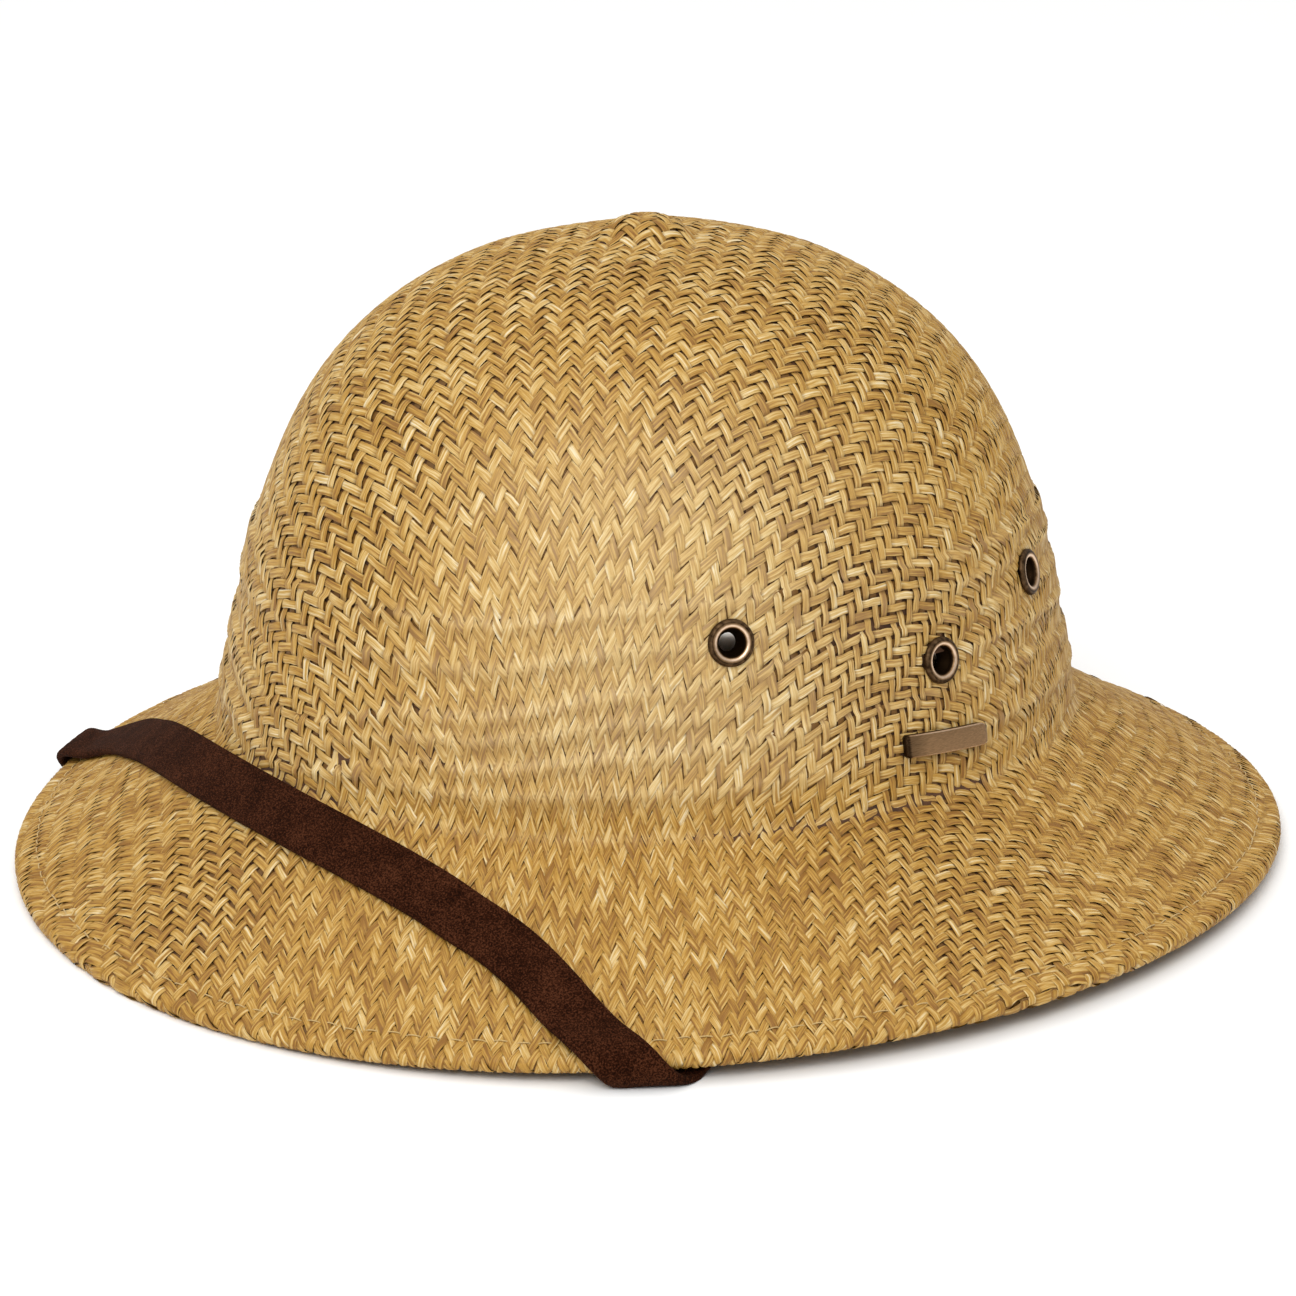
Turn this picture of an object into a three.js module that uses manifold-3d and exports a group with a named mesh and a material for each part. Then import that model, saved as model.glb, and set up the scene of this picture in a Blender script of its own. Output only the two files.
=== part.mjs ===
// Straw sun helmet with brass eyelets and a suede chin strap.
// Millimetres, +Z up. The wearer looks along -Y and the wearer's left is +X.
// Shapes are worked out in the hat's own frame, whose zero height is the crown's foot,
// and seat() then sets the hat down on the plane z = 0.

import * as THREE from 'three';
import { mergeVertices } from 'three/addons/utils/BufferGeometryUtils.js';
import Module from 'manifold-3d';

// Driving dimensions: crown and brim
const crownFoot = { halfWidth: 95.7, front: 102.3, back: 106.2, squareness: 2.16 };
const rim = { halfWidth: 150.5, front: 152.1, back: 157.2, squareness: 2.03 };
const crownHeight = 115.4;
const crownShoulder = 3;
const crownRoundness = 2.09;
const crownTaper = 0.256;
const brimDrop = 30.9;
const brimFrontDip = 4.9;
const brimSideLift = 2.3;
const brimBow = 0.13;

// Driving dimensions: wall, rim fold, button, ridges and pleats
const wall = 2;
const hemThickness = 3.4;
const hemDepth = 6.5;
const buttonRadius = 9.8;
const buttonHeight = 4.6;
const ridgeHeight = 0.8;
const ridgeSpread = 18;
const pleatStep = 0.9;
const pleatLap = 1.6;

// Driving dimensions: trim
const gap = 0.3;
const eyeletFlange = 5.5;
const eyeletBore = 3.2;
const eyeletBarrel = 3.7;
const eyeletRise = 1.1;
const eyeletInnerFlange = 5;
const plateLength = 23.8;
const plateHeight = 5.3;
const plateThickness = 1.6;
const strapWidth = 14;
const strapThickness = 2;
const strapGap = 0.4;
const strapRimSlack = 2;
const strapUnderSlack = 0.75;
const strapCreaseSlack = 0.7;

// Driving dimensions: how the hat stands
const restPitch = 1.807;
const restHeight = 35.63;
const restShift = -1.509;

const degree = Math.PI / 180;

// Azimuths of the crown's ridges, from the front towards either side
const ridgeAzimuths = [0, 66, -66, 132, -132, 180];

// Upper edge of each lapped pleat, as a share of the crown's height, by azimuth from the front
const pleats = [
  { name: 'upper', at0: 0.38, at30: 0.40, at60: 0.45, at90: 0.46, at120: 0.455, at150: 0.44, at180: 0.43 },
  { name: 'middle', at0: 0.13, at30: 0.22, at60: 0.29, at90: 0.345, at120: 0.34, at150: 0.315, at180: 0.30 },
  { name: 'lower', at0: 0.03, at30: 0.12, at60: 0.17, at90: 0.20, at120: 0.21, at150: 0.17, at180: 0.16 },
];

// Eyelet centres on one side; height is a share of the crown's height
const eyelets = [
  { name: 'front', azimuth: 69.8, height: 0.371 },
  { name: 'middle', azimuth: 102.8, height: 0.263 },
  { name: 'rear', azimuth: 126.5, height: 0.356 },
];

// Plate's centre, and how far its rear end drops over its length
const plate = { azimuth: 101.8, height: 0.105, slope: -0.09 };

// Half of the strap's route, from the middle of the front to the end inside the crown.
// over and under: share of the way from the crown's foot to the rim, on top of or below the brim.
// inside: share of the crown's height, on its inner wall.
const strapRoute = [
  { face: 'over', azimuth: 0, share: 0.12 },
  { face: 'over', azimuth: 10, share: 0.13 },
  { face: 'over', azimuth: 20, share: 0.172 },
  { face: 'over', azimuth: 28, share: 0.238 },
  { face: 'over', azimuth: 34, share: 0.312 },
  { face: 'over', azimuth: 38, share: 0.385 },
  { face: 'over', azimuth: 42, share: 0.465 },
  { face: 'over', azimuth: 45, share: 0.55 },
  { face: 'over', azimuth: 48, share: 0.665 },
  { face: 'over', azimuth: 51, share: 0.81 },
  { face: 'over', azimuth: 54, share: 0.97 },
  { face: 'under', azimuth: 58.5, share: 0.97 },
  { face: 'under', azimuth: 64, share: 0.69 },
  { face: 'under', azimuth: 71, share: 0.41 },
  { face: 'under', azimuth: 80, share: 0.16 },
  { face: 'under', azimuth: 90.5, share: 0 },
  { face: 'inside', azimuth: 99, share: 0.07 },
  { face: 'inside', azimuth: 107, share: 0.14 },
];

const clamp = THREE.MathUtils.clamp;
const smooth = (x, low, high) => THREE.MathUtils.smoothstep(x, low, high);

// Sets a point of the hat's own frame down on the resting plane
function seat(p) {
  const pitch = restPitch * degree;
  return new THREE.Vector3(
    p.x,
    p.y * Math.cos(pitch) + p.z * Math.sin(pitch) + restShift,
    p.z * Math.cos(pitch) - p.y * Math.sin(pitch) + restHeight,
  );
}

// A point of a rounded oval, in plan
function oval(azimuth, size) {
  const c = Math.cos(azimuth);
  const s = Math.sin(azimuth);
  const n = size.squareness;
  const r = (Math.abs(c) ** n + Math.abs(s) ** n) ** (-1 / n);
  return { x: size.halfWidth * r * s, y: -(c > 0 ? size.front : size.back) * r * c };
}

// The plain outer surface. Girth runs 0 at the apex, 1 at the crown's foot, 2 at the rim.
function skin(azimuth, girth) {
  if (girth <= 1) {
    const u = Math.cos(clamp(girth, 0, 1) * Math.PI / 2);
    const share = (1 - u ** crownShoulder) ** (1 / crownRoundness) - crownTaper * u * (1 - u);
    const p = oval(azimuth, crownFoot);
    const x = p.x * share;
    const y = p.y * share;
    const button = buttonHeight * Math.exp(-((Math.hypot(x, y) / buttonRadius) ** 4));
    return new THREE.Vector3(x, y, crownHeight * u + button);
  }
  const s = girth - 1;
  const foot = oval(azimuth, crownFoot);
  const edge = oval(azimuth, rim);
  const drop = brimDrop + brimFrontDip * Math.cos(azimuth) + brimSideLift * Math.cos(2 * azimuth);
  const fall = (1 + brimBow) * s - brimBow * s * s;
  return new THREE.Vector3(foot.x + s * (edge.x - foot.x), foot.y + s * (edge.y - foot.y), -drop * fall);
}

// Unit directions of the plain surface: outward, and along the section towards the rim
function directions(azimuth, girth) {
  const step = 0.012;
  const mid = clamp(girth, step, 2 - step);
  const along = skin(azimuth, mid + step).sub(skin(azimuth, mid - step)).normalize();
  const round = skin(azimuth + step, mid).sub(skin(azimuth - step, mid));
  const out = girth < step ? new THREE.Vector3(0, 0, 1) : along.clone().cross(round).normalize();
  return { out, along };
}

function girthAtHeight(height) {
  return Math.acos(clamp(height / crownHeight, 0, 1)) * 2 / Math.PI;
}

// Height of a pleat's upper edge at an azimuth, between the columns of its row
function pleatHeight(pleat, azimuth) {
  const columns = [0, 30, 60, 90, 120, 150, 180];
  const a = Math.abs(Math.atan2(Math.sin(azimuth), Math.cos(azimuth))) / degree;
  const i = Math.min(Math.floor(a / 30), columns.length - 2);
  const low = pleat[`at${columns[i]}`];
  const high = pleat[`at${columns[i + 1]}`];
  return crownHeight * (low + (high - low) * smooth(a, columns[i], columns[i + 1]));
}

// How far the lapped pleats stand out: each steps out just below its edge and dies away downward
function pleatRelief(azimuth, height) {
  const edges = pleats.map((pleat) => pleatHeight(pleat, azimuth));
  return edges.reduce((sum, edge, i) => {
    const next = i + 1 < edges.length ? edges[i + 1] : 0;
    const step = 1 - smooth(height, edge - pleatLap / 2, edge + pleatLap / 2);
    return sum + pleatStep * step * smooth(height, next - pleatLap / 2, edge);
  }, 0);
}

// Soft ridges from the button down to the pleats
function ridgeRelief(azimuth, height) {
  const p = skin(azimuth, girthAtHeight(height));
  const reach = Math.hypot(p.x, p.y);
  const fade = smooth(height, 0.36 * crownHeight, 0.55 * crownHeight) * smooth(reach, buttonRadius, 3 * buttonRadius);
  return ridgeAzimuths.reduce((sum, ridge) => {
    const turn = azimuth - ridge * degree;
    const away = Math.abs(Math.atan2(Math.sin(turn), Math.cos(turn))) * reach;
    return sum + ridgeHeight * fade * Math.exp(-away / ridgeSpread);
  }, 0);
}

// Relief of the moulded surface; an eyelet presses the straw flat around itself
function relief(azimuth, height) {
  let value = pleatRelief(azimuth, height) + ridgeRelief(azimuth, height);
  for (const eyelet of eyelets) {
    for (const side of [1, -1]) {
      const centre = { azimuth: side * eyelet.azimuth * degree, height: eyelet.height * crownHeight };
      const here = skin(azimuth, girthAtHeight(height));
      const away = here.distanceTo(skin(centre.azimuth, girthAtHeight(centre.height)));
      const pressed = 1 - smooth(away, eyeletFlange + 1, eyeletFlange + 6);
      value += pressed * (pleatStep / 2 - value);
    }
  }
  return value;
}

// A point of the shell's section, lifted off the outer surface
function lifted(azimuth, girth, lift) {
  return skin(azimuth, girth).addScaledVector(directions(azimuth, girth).out, lift);
}

function mesh(name, geometry, material) {
  geometry.deleteAttribute('normal');
  geometry.deleteAttribute('uv');
  const merged = mergeVertices(geometry, 1e-4);
  merged.computeVertexNormals();
  const result = new THREE.Mesh(merged, material);
  result.name = name;
  return result;
}

// A closed solid from rings of points; an end is a pole when it has one point, else a flat cap.
// Each four-sided patch is split along its longer diagonal, which stands off a bend.
function ringSolid(rings) {
  const positions = [];
  const triangle = (a, b, c) => positions.push(...a.toArray(), ...b.toArray(), ...c.toArray());
  for (let i = 0; i + 1 < rings.length; i += 1) {
    const [top, low] = [rings[i], rings[i + 1]];
    const count = Math.max(top.length, low.length);
    for (let j = 0; j < count; j += 1) {
      const k = (j + 1) % count;
      if (top.length > 1 && low.length > 1) {
        const rising = low[j].distanceTo(top[k]) + 0.01 >= top[j].distanceTo(low[k]);
        triangle(top[j], low[j], rising ? top[k] : low[k]);
        triangle(top[k], rising ? low[j] : top[j], low[k]);
      } else if (top.length > 1) {
        triangle(top[j], low[0], top[k]);
      } else {
        triangle(top[0], low[j], low[k]);
      }
    }
  }
  const [first, last] = [rings[0], rings[rings.length - 1]];
  for (let j = 1; j + 1 < first.length; j += 1) triangle(first[0], first[j], first[j + 1]);
  for (let j = 1; j + 1 < last.length; j += 1) triangle(last[0], last[j + 1], last[j]);
  const geometry = new THREE.BufferGeometry();
  geometry.setAttribute('position', new THREE.Float32BufferAttribute(positions, 3));
  return geometry;
}

const edgeRadius = hemThickness / 2;

// Crown and brim: rings over the outside, round the folded rim and back up the inside
const shellSectors = 60;

function shellRings() {
  const around = (point) => Array.from({ length: shellSectors }, (_, j) => (
    seat(point(j * 2 * Math.PI / shellSectors))
  ));
  const rings = [[seat(skin(0, 0))]];
  const outerCrown = (height) => around((azimuth) => {
    const z = height(azimuth);
    return lifted(azimuth, girthAtHeight(z), relief(azimuth, z));
  });

  for (const share of [0.28, 0.46, 0.6, 0.74, 0.9, 1.3]) {
    const girth = share * buttonRadius / (crownFoot.halfWidth * Math.PI / 2) * 1.06;
    rings.push(around((azimuth) => skin(azimuth, girth)));
  }
  const domeStart = girthAtHeight(crownHeight) + 0.17;
  const domeSteps = 8;
  for (let i = 0; i < domeSteps; i += 1) {
    rings.push(outerCrown((azimuth) => {
      const end = girthAtHeight(pleatHeight(pleats[0], azimuth) + 7);
      const girth = domeStart + (end - domeStart) * (i / (domeSteps - 1));
      return crownHeight * Math.cos(girth * Math.PI / 2);
    }));
  }
  pleats.forEach((pleat, i) => {
    const below = (azimuth) => (i + 1 < pleats.length ? pleatHeight(pleats[i + 1], azimuth) : 0);
    rings.push(outerCrown((azimuth) => pleatHeight(pleat, azimuth) + pleatLap * 0.5));
    rings.push(outerCrown((azimuth) => pleatHeight(pleat, azimuth) - pleatLap * 0.5));
    rings.push(outerCrown((azimuth) => (pleatHeight(pleat, azimuth) + below(azimuth)) / 2));
  });
  rings.push(outerCrown(() => 0.9));

  for (const s of [0, 0.03, 0.12, 0.26, 0.42, 0.58, 0.74, 0.88]) {
    rings.push(around((azimuth) => skin(azimuth, 1 + s)));
  }
  for (const turn of [0, 45, 90, 135, 180]) {
    rings.push(around((azimuth) => {
      const { out, along } = directions(azimuth, 2);
      return skin(azimuth, 2)
        .addScaledVector(along, edgeRadius * (Math.sin(turn * degree) - 1))
        .addScaledVector(out, edgeRadius * (Math.cos(turn * degree) - 1));
    }));
  }

  const slope = skin(0, 1).distanceTo(skin(0, 2));
  const under = (girth, thickness) => around((azimuth) => lifted(azimuth, girth, -thickness));
  rings.push(under(2 - hemDepth / slope, hemThickness));
  rings.push(under(2 - (hemDepth + 1) / slope, wall));
  for (const girth of [1.62, 1.3, 1.05, 1]) rings.push(under(girth, wall));
  for (const height of [3, 12, 28, 46, 62, 76, 88, 98, 106]) {
    rings.push(under(girthAtHeight(height), wall));
  }
  for (const girth of [0.19, 0.13, 0.07]) rings.push(under(girth, wall));
  rings.push([seat(lifted(0, 0, -wall))]);
  return rings;
}

// Turns the eyelet's own axis (+Z, outward) and centre onto the shell
function eyeletPlacement(eyelet, side) {
  const azimuth = side * eyelet.azimuth * degree;
  const girth = girthAtHeight(eyelet.height * crownHeight);
  const { out } = directions(azimuth, girth);
  const centre = skin(azimuth, girth).addScaledVector(out, pleatStep / 2);
  const foot = seat(centre);
  const tip = seat(centre.clone().add(out));
  const axis = tip.sub(foot).normalize();
  return { position: foot, quaternion: new THREE.Quaternion().setFromUnitVectors(new THREE.Vector3(0, 0, 1), axis) };
}

// Section of an eyelet: rolled flange outside, barrel, flat flange inside
function eyeletGeometry() {
  const outer = gap + 0.15;
  const inner = -(wall + pleatStep / 2 + gap + 0.35);
  const section = [
    [eyeletBore, inner - 0.6],
    [eyeletInnerFlange, inner - 0.6],
    [eyeletInnerFlange, inner],
    [eyeletBarrel, inner],
    [eyeletBarrel, outer],
    [eyeletFlange, outer],
    [eyeletFlange - 0.2, outer + eyeletRise * 0.5],
    [(eyeletFlange + eyeletBarrel) / 2, outer + eyeletRise],
    [eyeletBore, outer + eyeletRise * 0.5],
    [eyeletBore, inner - 0.6],
  ].map(([r, z]) => new THREE.Vector2(r, z));
  const geometry = new THREE.LatheGeometry(section, 16);
  geometry.rotateX(Math.PI / 2);
  return geometry;
}

// Plate: a bare bar that follows the crown, with a rounded rear end
function plateGeometry() {
  const rings = [];
  const stations = 9;
  for (let i = 0; i < stations; i += 1) {
    const t = i / (stations - 1);
    const along = (t - 0.5) * plateLength;
    const rounding = t > 0.94 ? 0.82 : 1;
    const centre = plate.azimuth * degree;
    const radius = Math.hypot(skin(centre, 1).x, skin(centre, 1).y);
    const azimuth = centre + along / radius;
    const height = plate.height * crownHeight + plate.slope * along;
    const half = plateHeight / 2 * rounding;
    const base = 0.7 * pleatStep + gap;
    const corner = (h, lift) => seat(lifted(azimuth, girthAtHeight(height + h), lift));
    rings.push([
      corner(half, base),
      corner(-half, base),
      corner(-half, base + plateThickness * 0.8),
      corner(-half * 0.85, base + plateThickness),
      corner(half * 0.85, base + plateThickness),
      corner(half, base + plateThickness * 0.8),
    ]);
  }
  return ringSolid(rings);
}

// The strap lies on the whole section of the shell: over the brim, round the rim, under and inside.
// Reach is in millimetres from the rim, negative on top and positive past it.
const wrapRadius = hemThickness / 2 + strapRimSlack + strapThickness / 2;
const wrapLength = Math.PI * wrapRadius;
const brimSlope = skin(0, 1).distanceTo(skin(0, 2));

function reachOf(row) {
  const fromRim = (1 - row.share) * brimSlope - edgeRadius;
  if (row.face === 'over') return -fromRim;
  if (row.face === 'under') return wrapLength + fromRim;
  return wrapLength + brimSlope - edgeRadius + row.share * crownHeight;
}

// A point at a reach and azimuth, with height counted from the strap's middle layer
function strapPoint(azimuth, reach, height) {
  const side = strapThickness / 2 + strapGap;
  const slack = strapRimSlack - strapGap;
  if (reach < 0) {
    const girth = 2 + (reach - edgeRadius) / brimSlope;
    return lifted(azimuth, girth, side + slack * smooth(reach, -20, -4) + height);
  }
  if (reach <= wrapLength) {
    const turn = reach / wrapRadius;
    const { out, along } = directions(azimuth, 2);
    const radius = wrapRadius + height;
    return skin(azimuth, 2)
      .addScaledVector(along, -edgeRadius + radius * Math.sin(turn))
      .addScaledVector(out, -edgeRadius + radius * Math.cos(turn));
  }
  const past = reach - wrapLength + edgeRadius;
  const hem = 1 - smooth(past, hemDepth + edgeRadius, hemDepth + 8);
  const crease = 1 - smooth(Math.abs(past - brimSlope), 4, 14);
  const rest = strapUnderSlack - strapGap + (strapRimSlack - strapUnderSlack) * (1 - smooth(past, 8, 24));
  const depth = wall + side + rest + hem * (hemThickness - wall) + crease * strapCreaseSlack;
  const girth = past <= brimSlope ? 2 - past / brimSlope : girthAtHeight(past - brimSlope);
  return lifted(azimuth, girth, -(depth + height));
}

// Points across the strap at one station, found by walking out from its middle over the surface
const strapLanes = 7;
const strapStep = 12;
const strapFineStep = 3;

function strapLane(azimuth, reach, travel, distance) {
  const steps = 5;
  const stride = distance / steps;
  const turn = 0.004;
  const slide = 0.4;
  let [a, r] = [azimuth, reach];
  let across = null;
  for (let i = 0; i < steps; i += 1) {
    const byAzimuth = strapPoint(a + turn, r, 0).sub(strapPoint(a - turn, r, 0)).divideScalar(2 * turn);
    const byReach = strapPoint(a, r + slide, 0).sub(strapPoint(a, r - slide, 0)).divideScalar(2 * slide);
    const out = byReach.clone().cross(byAzimuth).normalize();
    across = across ?? travel.clone().cross(out);
    across.addScaledVector(out, -across.dot(out)).normalize();
    const e = byAzimuth.dot(byAzimuth);
    const f = byAzimuth.dot(byReach);
    const g = byReach.dot(byReach);
    const u = across.dot(byAzimuth) * stride;
    const v = across.dot(byReach) * stride;
    a += (g * u - f * v) / (e * g - f * f);
    r += (e * v - f * u) / (e * g - f * f);
  }
  return [a, r];
}

function strapGeometry() {
  const scale = rim.halfWidth * 0.87;
  const half = strapRoute.map((row) => new THREE.Vector3(row.azimuth * degree * scale, reachOf(row), 0));
  const mirrored = half.slice(1).reverse().map((p) => new THREE.Vector3(-p.x, p.y, 0));
  const route = new THREE.CatmullRomCurve3([...mirrored, ...half], false, 'centripetal');
  const length = route.getLength();
  const at = (t) => {
    const p = route.getPointAt(clamp(t, 0, 1));
    return [p.x / scale, p.y];
  };
  const stations = [1];
  while (stations[0] > 0.5) {
    const reach = at(stations[0])[1];
    const nearRim = reach > -17 && reach < wrapLength + 13;
    const nearCrease = Math.abs(reach - wrapLength - brimSlope) < 14;
    const step = nearRim ? strapFineStep : nearCrease ? strapStep / 2 : strapStep;
    stations.unshift(Math.max(0.5, stations[0] - step / length));
  }
  stations.unshift(...stations.slice(1).reverse().map((t) => 1 - t));
  const rings = [];
  for (const t of stations) {
    const [azimuth, reach] = at(t);
    const travel = strapPoint(...at(t + 0.002), 0).sub(strapPoint(...at(t - 0.002), 0)).normalize();
    const under = [];
    const over = [];
    for (let j = 0; j < strapLanes; j += 1) {
      const share = j / (strapLanes - 1) * 2 - 1;
      const [a, r] = strapLane(azimuth, reach, travel, share * strapWidth / 2);
      const bevel = Math.abs(share) === 1 ? 0.35 : 0;
      under.push(strapPoint(a, r, -strapThickness / 2));
      over.unshift(strapPoint(a, r, strapThickness / 2 - bevel));
    }
    rings.push([...under, ...over].map((p) => {
      const seated = seat(p);
      seated.z = Math.max(seated.z, 0);
      return seated;
    }));
  }
  return ringSolid(rings);
}

const straw = new THREE.MeshStandardMaterial({ color: 0xc79f62, roughness: 0.75, metalness: 0 });
const brass = new THREE.MeshStandardMaterial({ color: 0x8a7048, roughness: 0.4, metalness: 1 });
const suede = new THREE.MeshStandardMaterial({ color: 0x452411, roughness: 0.95, metalness: 0 });

// Exact joining and cutting
const wasm = await Module();
wasm.setup();

function toManifold(geometry) {
  return new wasm.Manifold(new wasm.Mesh({
    numProp: 3,
    vertProperties: Float32Array.from(geometry.attributes.position.array),
    triVerts: Uint32Array.from(geometry.index.array),
  }));
}

function fromManifold(solid) {
  const result = solid.getMesh();
  const geometry = new THREE.BufferGeometry();
  geometry.setAttribute('position', new THREE.Float32BufferAttribute(result.vertProperties, 3));
  geometry.setIndex(new THREE.Uint32BufferAttribute(result.triVerts, 1));
  return geometry;
}

function shellGeometry() {
  const hole = new THREE.CylinderGeometry(eyeletBarrel + gap, eyeletBarrel + gap, 16, 20);
  hole.rotateX(Math.PI / 2);
  hole.deleteAttribute('normal');
  hole.deleteAttribute('uv');
  const bit = mergeVertices(hole);
  let solid = toManifold(mesh('shell', ringSolid(shellRings()), straw).geometry);
  for (const eyelet of eyelets) {
    for (const side of [1, -1]) {
      const { position, quaternion } = eyeletPlacement(eyelet, side);
      const placed = bit.clone().applyQuaternion(quaternion).translate(position.x, position.y, position.z);
      solid = solid.subtract(toManifold(placed));
    }
  }
  return fromManifold(solid);
}

const hat = new THREE.Group();
hat.name = 'sun_hat';
hat.add(mesh('shell', shellGeometry(), straw));
for (const eyelet of eyelets) {
  for (const [side, word] of [[1, 'left'], [-1, 'right']]) {
    const piece = mesh(`eyelet_${word}_${eyelet.name}`, eyeletGeometry(), brass);
    const { position, quaternion } = eyeletPlacement(eyelet, side);
    piece.position.copy(position);
    piece.quaternion.copy(quaternion);
    hat.add(piece);
  }
}
hat.add(mesh('badge_plate', plateGeometry(), brass));
hat.add(mesh('chin_strap', strapGeometry(), suede));

export default hat;
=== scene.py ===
"""Straw sun hat: woven mat, suede chin strap, brass eyelets and plate, built round its CAD frame.

Lengths are metres. Shapes are worked out in the hat's own frame, whose zero height is the
crown's foot, and seat() sets them down on the floor as the CAD model stands.
The wearer looks along -Y and the wearer's left is +X.
"""

import math

import bpy
import numpy as np
from bpy.props import FloatProperty, FloatVectorProperty, PointerProperty
from mathutils import Matrix, Vector


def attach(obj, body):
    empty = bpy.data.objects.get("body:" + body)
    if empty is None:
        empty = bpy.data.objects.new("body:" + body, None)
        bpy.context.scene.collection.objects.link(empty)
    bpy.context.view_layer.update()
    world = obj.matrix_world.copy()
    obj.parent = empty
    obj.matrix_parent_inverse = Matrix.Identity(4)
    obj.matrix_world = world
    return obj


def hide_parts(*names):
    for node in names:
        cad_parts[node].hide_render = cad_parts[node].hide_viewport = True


bl_info = {
    "name": "Straw Sun Hat",
    "version": (1, 0, 0),
    "blender": (4, 5, 0),
    "location": "3D View > Sidebar > Sun Hat",
    "description": "Weaves a straw sun hat with its strap and brass trim round the CAD frame",
    "category": "Add Mesh",
}

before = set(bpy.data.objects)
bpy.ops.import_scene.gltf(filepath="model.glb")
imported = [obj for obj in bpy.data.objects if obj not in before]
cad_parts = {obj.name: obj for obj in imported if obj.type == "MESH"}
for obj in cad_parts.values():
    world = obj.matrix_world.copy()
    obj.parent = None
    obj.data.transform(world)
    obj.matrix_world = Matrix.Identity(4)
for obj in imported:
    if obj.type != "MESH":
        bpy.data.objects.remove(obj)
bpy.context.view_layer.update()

MM = 0.001
DEGREE = math.pi / 180

# Azimuth of each eyelet, and its height as a share of the crown's
EYELET_NAMES = ("front", "middle", "rear")
EYELETS = ((69.8, 0.371), (102.8, 0.263), (126.5, 0.356))

# How far beyond its flange an eyelet presses the straw quite flat, and at all
PRESS_FLAT, PRESS_END = 1 * MM, 6 * MM

# Middle of the plate, placed like an eyelet, how it climbs along its length, and its rounding
PLATE_AZIMUTH, PLATE_SHARE, PLATE_CLIMB = 101.8, 0.105, -0.09
PLATE_BEVEL, PLATE_CORNER, PLATE_STATIONS = 0.35 * MM, 0.6 * MM, 41

# Azimuths of the crown's soft ridges, and the shares of its height between which they come up
RIDGES = (0, 66, -66, 132, -132, 180)
RIDGES_START, RIDGES_FULL = 0.36, 0.55

# Upper edges of the three lapped pleats, as shares of the crown's height, every 30 degrees
PLEATS = (
    (0.38, 0.40, 0.45, 0.46, 0.455, 0.44, 0.43),
    (0.13, 0.22, 0.29, 0.345, 0.34, 0.315, 0.30),
    (0.03, 0.12, 0.17, 0.20, 0.21, 0.17, 0.16),
)

# Finer creases pressed between the pleats, in the same way
CREASES = (
    (0.30, 0.31, 0.37, 0.40, 0.40, 0.38, 0.37),
    (0.08, 0.17, 0.23, 0.27, 0.27, 0.24, 0.23),
    (0.05, 0.07, 0.09, 0.10, 0.11, 0.10, 0.09),
)

# How the flat mat settles on the hat, by distance from the apex in millimetres:
# gathering, pinching and leaning of its quarters, and how much it stretches down the diagonals
MAT_REACH = (0, 40, 70, 100, 125, 145, 165, 205, 260)
MAT_GATHER = (0, 0.06, 0.16, 0.27, 0.40, 0.465, 0.51, 0.32, 0.30)
MAT_PINCH = (0, 0, 0.02, 0.035, 0.08, 0.14, 0.155, -0.02, -0.02)
MAT_LEAN = (0, -0.05, -0.11, -0.18, -0.135, -0.13, -0.09, -0.11, -0.11)
MAT_SHRINK = (0, 0, 1.8, 6.6, 12.7, 18.2, 23.4, 33.4, 46)

# Wobbles along a splint, each as its wavelength in millimetres and its strength
STRAY_LONG, STRAY_SHORT = (34, 1), (11, 0.5)
BREADTH_LONG, BREADTH_SHORT = (21, 0.12), (7, 0.09)
OPENNESS_WAVE, TWIST_WAVE = (9, 0.045), (13, 0.1 * MM)

# How much whole splints differ from each other in line and in breadth
STRAY_SPREAD, BREADTH_SPREAD = 0.35, 0.06

# How abruptly a splint changes from over to under
TWILL_SHARPNESS = 2.8

# Tight and loose patches of the mat: strength, and radians per metre across and along a splint
PATCHES, PATCH_ACROSS, PATCH_ALONG = 0.045, 95, 71

# Zones on both flanks of the crown: azimuth and spread in degrees, and the heights in
# millimetres where a zone starts, is full, starts to fade and ends
OPENED_ZONE = (94, 15, (4, 14, 48, 66))
# The second zone is painted sheen, a pale veil on both flanks of the crown
SHEEN_ZONE = (62, 34, (2, 22, 70, 105))

# Widths of the pale lines of painted highlight along pleats and of the dark lines of painted shade that lie
# a little below them, and how far below they lie
PALE_LINE, DARK_LINE, DARK_BELOW = 1.3 * MM, 1.2 * MM, 2.6 * MM

# Widths of a crease, of the fold at the crown's foot and of the groove along the stitches, and
# the distance from the rim over which the hem is swollen in full
CREASE_WIDTH, FOLD_WIDTH, GROOVE_WIDTH, BULGE_FULL = 1.1 * MM, 1.1 * MM, 1 * MM, 1.5 * MM

# Depth of the outer splints below the outer face, height of the inner ones from the inner face,
# and how far short of the rim the inner ones end
OUTER_DEPTH, INNER_HEIGHT, INNER_END = 0.22 * MM, 0.25 * MM, 4 * MM

# Depths of the core's two faces, and radii that splints and core leave clear for an eyelet
CORE_OUTER, CORE_INNER = 0.82 * MM, 1.3 * MM
SPLINT_HOLE, CORE_HOLE = 5 * MM, 4.7 * MM

# Shift of each part's straw between pale and golden
CROWN_GOLD, BRIM_GOLD, INSIDE_GOLD = -1.21, -1.13, -1.15

# Linear tint of the suede's nap where it is seen edge-on
SUEDE_SHEEN = (0.75, 0.5, 0.32, 1)

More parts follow.
